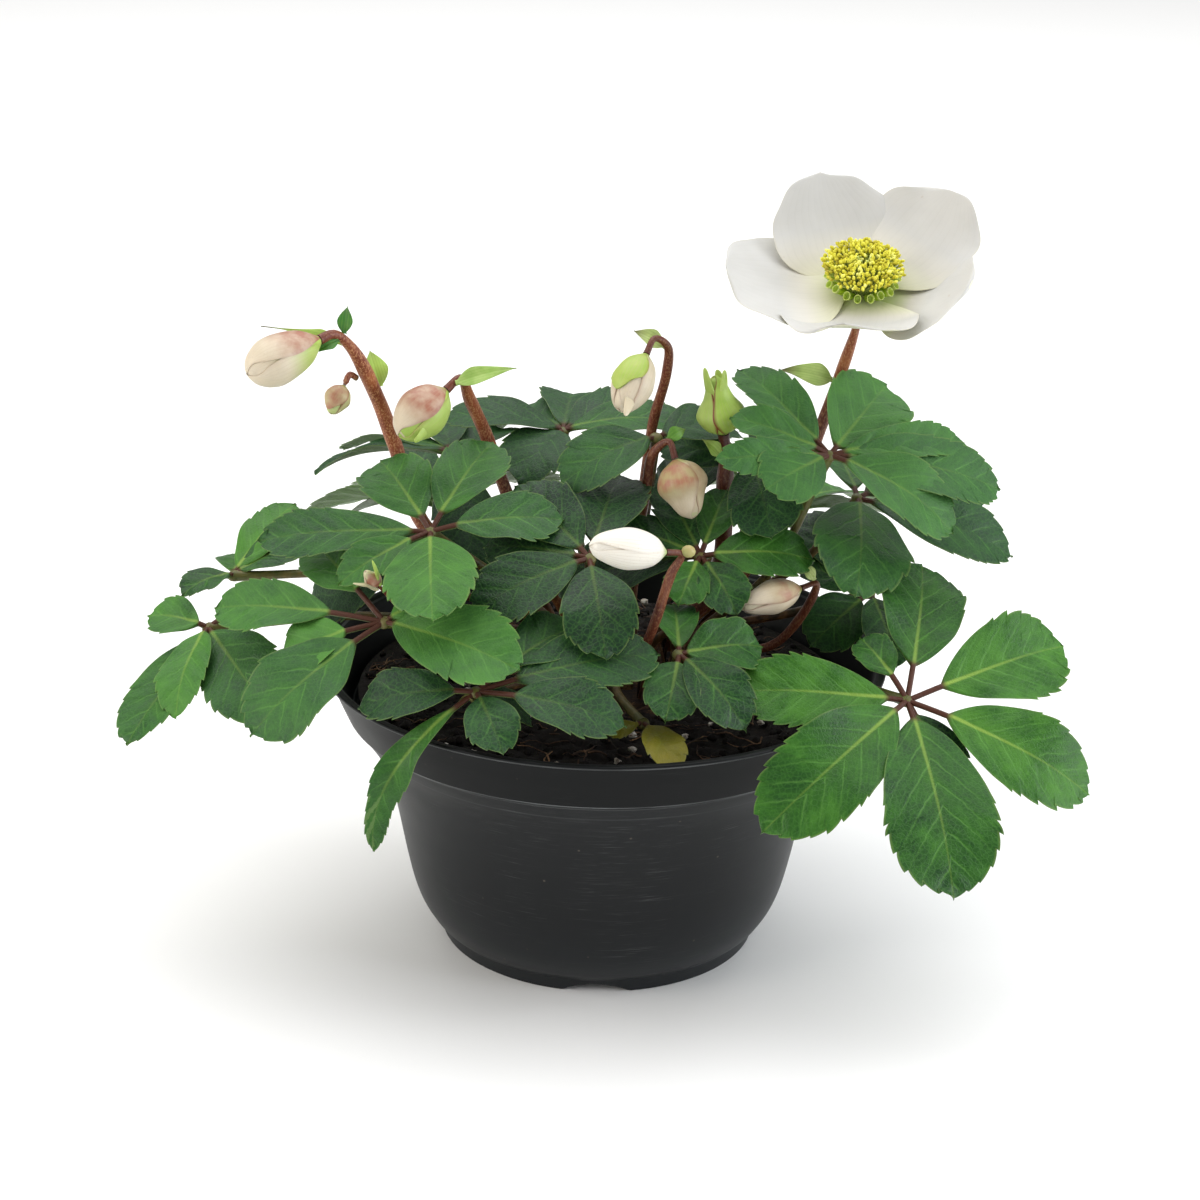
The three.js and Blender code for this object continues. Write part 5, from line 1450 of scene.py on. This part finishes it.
def petal_skin():
    """A white petal-like sepal: satin, thin, with faint lengthwise veins, warm and green at its base."""
    marks = ("reach", "vein", "rim", "green", "under")
    material, tree, shader, place, reach, vein, rim, green, under = new_material("petal_skin", *marks)
    cloud = add(tree, "TexNoise", {"Vector": place, "Scale": cells(7), "Detail": 4})
    ripple = add(tree, "Math", {0: vein, 1: 0.5}, operation="PINGPONG")
    line = add(tree, "MapRange", {"Value": ripple, "From Max": 0.12, "To Min": 0.15, "To Max": 0})
    clouded = add(tree, "Math", {0: cloud, 1: 1.6}, operation="MULTIPLY")
    line = add(tree, "Math", {0: line, 1: clouded}, operation="MULTIPLY")
    base = add(tree, "MapRange",
               {"Value": reach, "From Min": 0.1, "From Max": 0.55, "To Min": 0.6, "To Max": 0})
    throat = add(tree, "MapRange",
                 {"Value": reach, "From Min": 0.12, "From Max": 0.36, "To Min": 0.95, "To Max": 0})
    throat = add(tree, "Math", {0: throat, 1: green}, operation="MULTIPLY")
    # Bruises are rare brown flecks about 1.5 mm across.
    fleck = add(tree, "TexNoise", {"Vector": place, "Scale": cells(5), "Detail": 2})
    bruise = add(tree, "MapRange", {"Value": fleck, "From Min": 0.74, "From Max": 0.8, "To Max": 0.5})
    dry = add(tree, "MapRange", {"Value": rim, "From Min": 0.97, "From Max": 1, "To Max": 0.25})
    colour = add(tree, "Mix", {"Factor": cloud, "A": "#c3c2be", "B": "#b8b7b3"}, data_type="RGBA")
    layers = (
        (base, "#e6dcc0"), (throat, "#a4bf45"), (line, "#a9a79e"), (bruise, "#9a7a55"), (dry, "#c2b79a"),
    )
    for factor, shade in layers:
        colour = add(tree, "Mix", {"Factor": factor, "A": colour, "B": shade}, data_type="RGBA")
    colour = add(tree, "Mix", {"Factor": under, "A": colour, "B": "#d3d2bd"}, data_type="RGBA")
    bump = add(tree, "Bump", {"Strength": 0.15, "Distance": 0.15 * MM, "Height": ripple})
    plug(tree, shader, {
        "Base Color": colour, "Roughness": 0.45, "Normal": bump, "Subsurface Weight": 0.1,
        "Subsurface Radius": (1.0, 0.9, 0.7), "Subsurface Scale": 1.5 * MM, "IOR": 1.42,
    })
    return material


petal_material = petal_skin()
for number, layout in enumerate(PETALS, start=1):
    sepal_open = make_object(f"open_sepal_{number}", [petal(*layout, flower_random)], [petal_material])
    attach(sepal_open, "root")
    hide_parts(f"petal_{number}")


def green_flesh(name, low, high, roughness, lip=None):
    """Living green tissue: satin, clouded between two greens, and paler towards the lip of a tube."""
    material, tree, shader, place = new_material(name)
    cloud = add(tree, "TexNoise", {"Vector": place, "Scale": cells(1.5), "Detail": 4})
    colour = add(tree, "ValToRGB", {"Fac": cloud}, stops=[(0.35, low), (0.65, high)])
    if lip:
        reach = add(tree, "Attribute", {}, attribute_name="reach").outputs["Fac"]
        near_lip = add(tree, "MapRange", {"Value": reach, "From Min": 0.78, "From Max": 1, "To Max": 0.8})
        colour = add(tree, "Mix", {"Factor": near_lip, "A": colour, "B": lip}, data_type="RGBA")
    plug(tree, shader, {"Base Color": colour, "Roughness": roughness, "IOR": 1.42})
    return material


RECEPTACLE_OUTLINE = [
    (0.3, -RECEPTACLE_DEPTH, 0), (2.1, -RECEPTACLE_DEPTH, 0.4), (4.4, -1, 1), (4.4, 0.7, 0.4),
    (2.2, 1.5, 0.6), (0.3, 1.7, 0),
]
receptacle = make_object(
    "flower_base", [shell(in_flower(turned(rounded(RECEPTACLE_OUTLINE), 40)))],
    [green_flesh("receptacle_flesh", "#7d8f3c", "#a3ad5c", 0.5)],
)
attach(receptacle, "root")
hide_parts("receptacle")


def nectar_tube(angle, random):
    """A nectary: a curved trumpet that leans out from the flower's axis, open at a slanted mouth.

    The outline runs up the outside, over the lip and down the inside, and is swept along a bent path.
    """
    mouth = 11.7 + random.uniform(-0.5, 0.5)
    route = [(4.8, 2.2), (8.2, 4), (mouth, 6.8)]
    rows, deep = len(NECTARY_RADII), len(NECTARY_HOLLOW)
    path = smooth_curve([outwards(angle) * far + [0, 0, height] for far, height in route], rows)
    tube = swept(path, NECTARY_RADII, 12, flat=0.8)
    hollow = np.array(NECTARY_HOLLOW)[:, None, None]
    inside = path[::-1][:deep, None] * (1 - hollow) + tube[::-1][:deep] * hollow
    # The inside rows take a reach of 0.9, so they get part of the paler lip colour: painted light that lifts
    # the shade inside the mouth.
    reach = np.concatenate([np.linspace(0, 1, rows), np.full(deep, 0.9)])
    return shell(in_flower(np.concatenate([tube, inside])), reach=reach[:, None])


nectar_places = np.arange(NECTARY_COUNT) + flower_random.uniform(-0.2, 0.2, NECTARY_COUNT)
nectar_angles = nectar_places * 2 * np.pi / NECTARY_COUNT
nectaries = make_object(
    "nectar_tubes", [nectar_tube(angle, flower_random) for angle in nectar_angles],
    [green_flesh("nectary_flesh", "#9cc01c", "#bedb3c", 0.3, lip="#e6eb9a")],
)
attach(nectaries, "root")
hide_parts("nectaries")


def stamen(angle, reach, top, random):
    """A stamen: a thread that bows outwards, and a plump anther at its end that leans its own way."""
    out, side = outwards(angle), np.array([-np.sin(angle), np.cos(angle), 0])
    foot = out * random.uniform(3.1, 4.2) + [0, 0, 1.6]
    knee = out * (3.4 + 0.42 * reach) + [0, 0, 0.7 * top]
    tip = out * reach + side * random.uniform(-0.8, 0.8) + [0, 0, top]
    filament = swept(smooth_curve([foot, knee, tip], 6), FILAMENT_RADIUS, 4)
    lean = (tip - knee) / np.linalg.norm(tip - knee) + random.uniform(-0.5, 0.5, 3)
    along = np.linspace(-ANTHER_HALF_LENGTH, ANTHER_HALF_LENGTH, len(ANTHER_RADII))[:, None]
    path = tip + along * lean / np.linalg.norm(lean)
    anther = swept(path, ANTHER_RADII * random.uniform(0.85, 1.15), 6, flat=0.7)
    return [shell(in_flower(filament)), shell(in_flower(anther), 1)]


def pollen_anther():
    """Anthers dusted with pollen: matt, from gold to lemon yellow, fine-grained."""
    material, tree, shader, place = new_material("pollen_anther")
    clumps = add(tree, "TexNoise", {"Vector": place, "Scale": cells(3), "Detail": 3})
    grain = add(tree, "TexNoise", {"Vector": place, "Scale": cells(0.2), "Detail": 2})
    stops = [(0.3, "#a3982a"), (0.42, "#c8be2e"), (0.54, "#e2de44"), (0.66, "#f4f288")]
    colour = add(tree, "ValToRGB", {"Fac": clumps}, stops=stops)
    bump = add(tree, "Bump", {"Strength": 0.5, "Distance": 0.15 * MM, "Height": grain})
    plug(tree, shader, {"Base Color": colour, "Roughness": 0.8, "Normal": bump})
    return material


stamen_parts = []
spin = np.arange(STAMEN_COUNT) * STAMEN_TURN * DEGREE
spread = np.sqrt(np.linspace(0, 1, STAMEN_COUNT))
for angle, far in zip(spin, spread):
    reach_out = 0.6 + STAMEN_SPREAD * far + flower_random.uniform(-0.5, 0.7)
    top = STAMEN_TOP - STAMEN_FALL * far**2 + flower_random.uniform(-1, 0.6)
    stamen_parts += stamen(angle, reach_out, top, flower_random)
stamens = make_object(
    "stamen_ring", stamen_parts,
    [green_flesh("filament_flesh", "#b4c25c", "#d3da92", 0.45), pollen_anther()], crease=80,
)
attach(stamens, "root")
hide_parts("stamens")


def carpel(angle, random):
    """A carpel: a slim swollen pod that leans in, with a long style bent outwards at its end."""
    height = CARPEL_HEIGHT + random.uniform(-0.8, 0.4)
    route = [(1.3, 1.9), (1.5, 6), (0.9, 10.5), (2, height)]
    path = smooth_curve([outwards(angle) * far + [0, 0, level] for far, level in route], CARPEL_ROWS)
    radius = np.interp(np.linspace(0, 1, CARPEL_ROWS), CARPEL_SHARES, CARPEL_RADII)
    return shell(in_flower(swept(path, radius, 10)))


carpel_angles = np.arange(CARPEL_COUNT) * 2 * np.pi / CARPEL_COUNT
carpels = make_object(
    "carpel_cluster", [carpel(angle, flower_random) for angle in carpel_angles],
    [green_flesh("carpel_flesh", "#a9b95c", "#ccd488", 0.4)],
)
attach(carpels, "root")
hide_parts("carpels")


# ---------------------------------------------------------------------------------------- studio
# A pale seamless floor, a large soft light overhead and a little behind, one at each side and a faint
# one in front, and the camera, which looks down on the plant from the front.
CAMERA_DISTANCE = 900
CAMERA_HEIGHT = 462
CAMERA_PITCH = 20.9 * DEGREE
CAMERA_ROLL = 1.2 * DEGREE
CAMERA_OFFSET = -1.3
CAMERA_LENS = 86.67
CAMERA_RANGE = (50, 50000)
FLOOR_SIZE = 14000
LIGHT_AIM = 120  # the height that the lights point at
WORLD_LIGHT = 0.34
# name, place, size, power and tint.
LIGHTS = [
    ("overhead_light", (0, 650, 2250), 3200, 74, "#ffffff"),
    ("left_light", (-1400, -500, 700), 1200, 17, "#fffaf4"),
    ("right_light", (1400, -300, 600), 1200, 20, "#f6f9ff"),
    ("front_light", (0, -2200, 500), 1600, 2.5, "#ffffff"),
]

floor_mesh = bpy.data.meshes.new("floor")
floor_half = FLOOR_SIZE / 2 * MM
floor_corners = [(x * floor_half, y * floor_half, 0) for x, y in ((-1, -1), (1, -1), (1, 1), (-1, 1))]
floor_mesh.from_pydata(floor_corners, [], [(0, 1, 2, 3)])
floor = bpy.data.objects.new("floor", floor_mesh)
bpy.context.scene.collection.objects.link(floor)
paper, tree, shader, _ = new_material("matt_white_paper")
plug(tree, shader, {"Base Color": "#f4f4f3", "Roughness": 0.9, "Specular IOR Level": 0.2})
floor_mesh.materials.append(paper)


def soft_light(name, place, size, power, tint):
    """A square soft light at a place in mm, turned to the middle of the plant."""
    lamp = bpy.data.lights.new(name, "AREA")
    lamp.size, lamp.energy, lamp.color = size * MM, power, linear(tint)[:3]
    made = bpy.data.objects.new(name, lamp)
    made.location = np.array(place) * MM
    backwards = made.location.copy()
    backwards.z -= LIGHT_AIM * MM
    made.rotation_euler = backwards.to_track_quat("Z", "Y").to_euler()
    bpy.context.scene.collection.objects.link(made)


for light in LIGHTS:
    soft_light(*light)
world = bpy.data.worlds.new("studio")
world.use_nodes = True
plug(world.node_tree, world.node_tree.nodes["Background"], {"Color": "#ffffff", "Strength": WORLD_LIGHT})
bpy.context.scene.world = world
bpy.context.scene.view_settings.view_transform = "Standard"

camera = bpy.data.objects.new("camera", bpy.data.cameras.new("camera"))
camera.data.lens = CAMERA_LENS
camera.data.clip_start, camera.data.clip_end = (distance * MM for distance in CAMERA_RANGE)
camera.location = (CAMERA_OFFSET * MM, -CAMERA_DISTANCE * MM, CAMERA_HEIGHT * MM)
camera.rotation_mode = "ZXY"  # the roll is about the camera's own axis
camera.rotation_euler = (np.pi / 2 - CAMERA_PITCH, 0, CAMERA_ROLL)
bpy.context.scene.collection.objects.link(camera)
bpy.context.scene.camera = camera
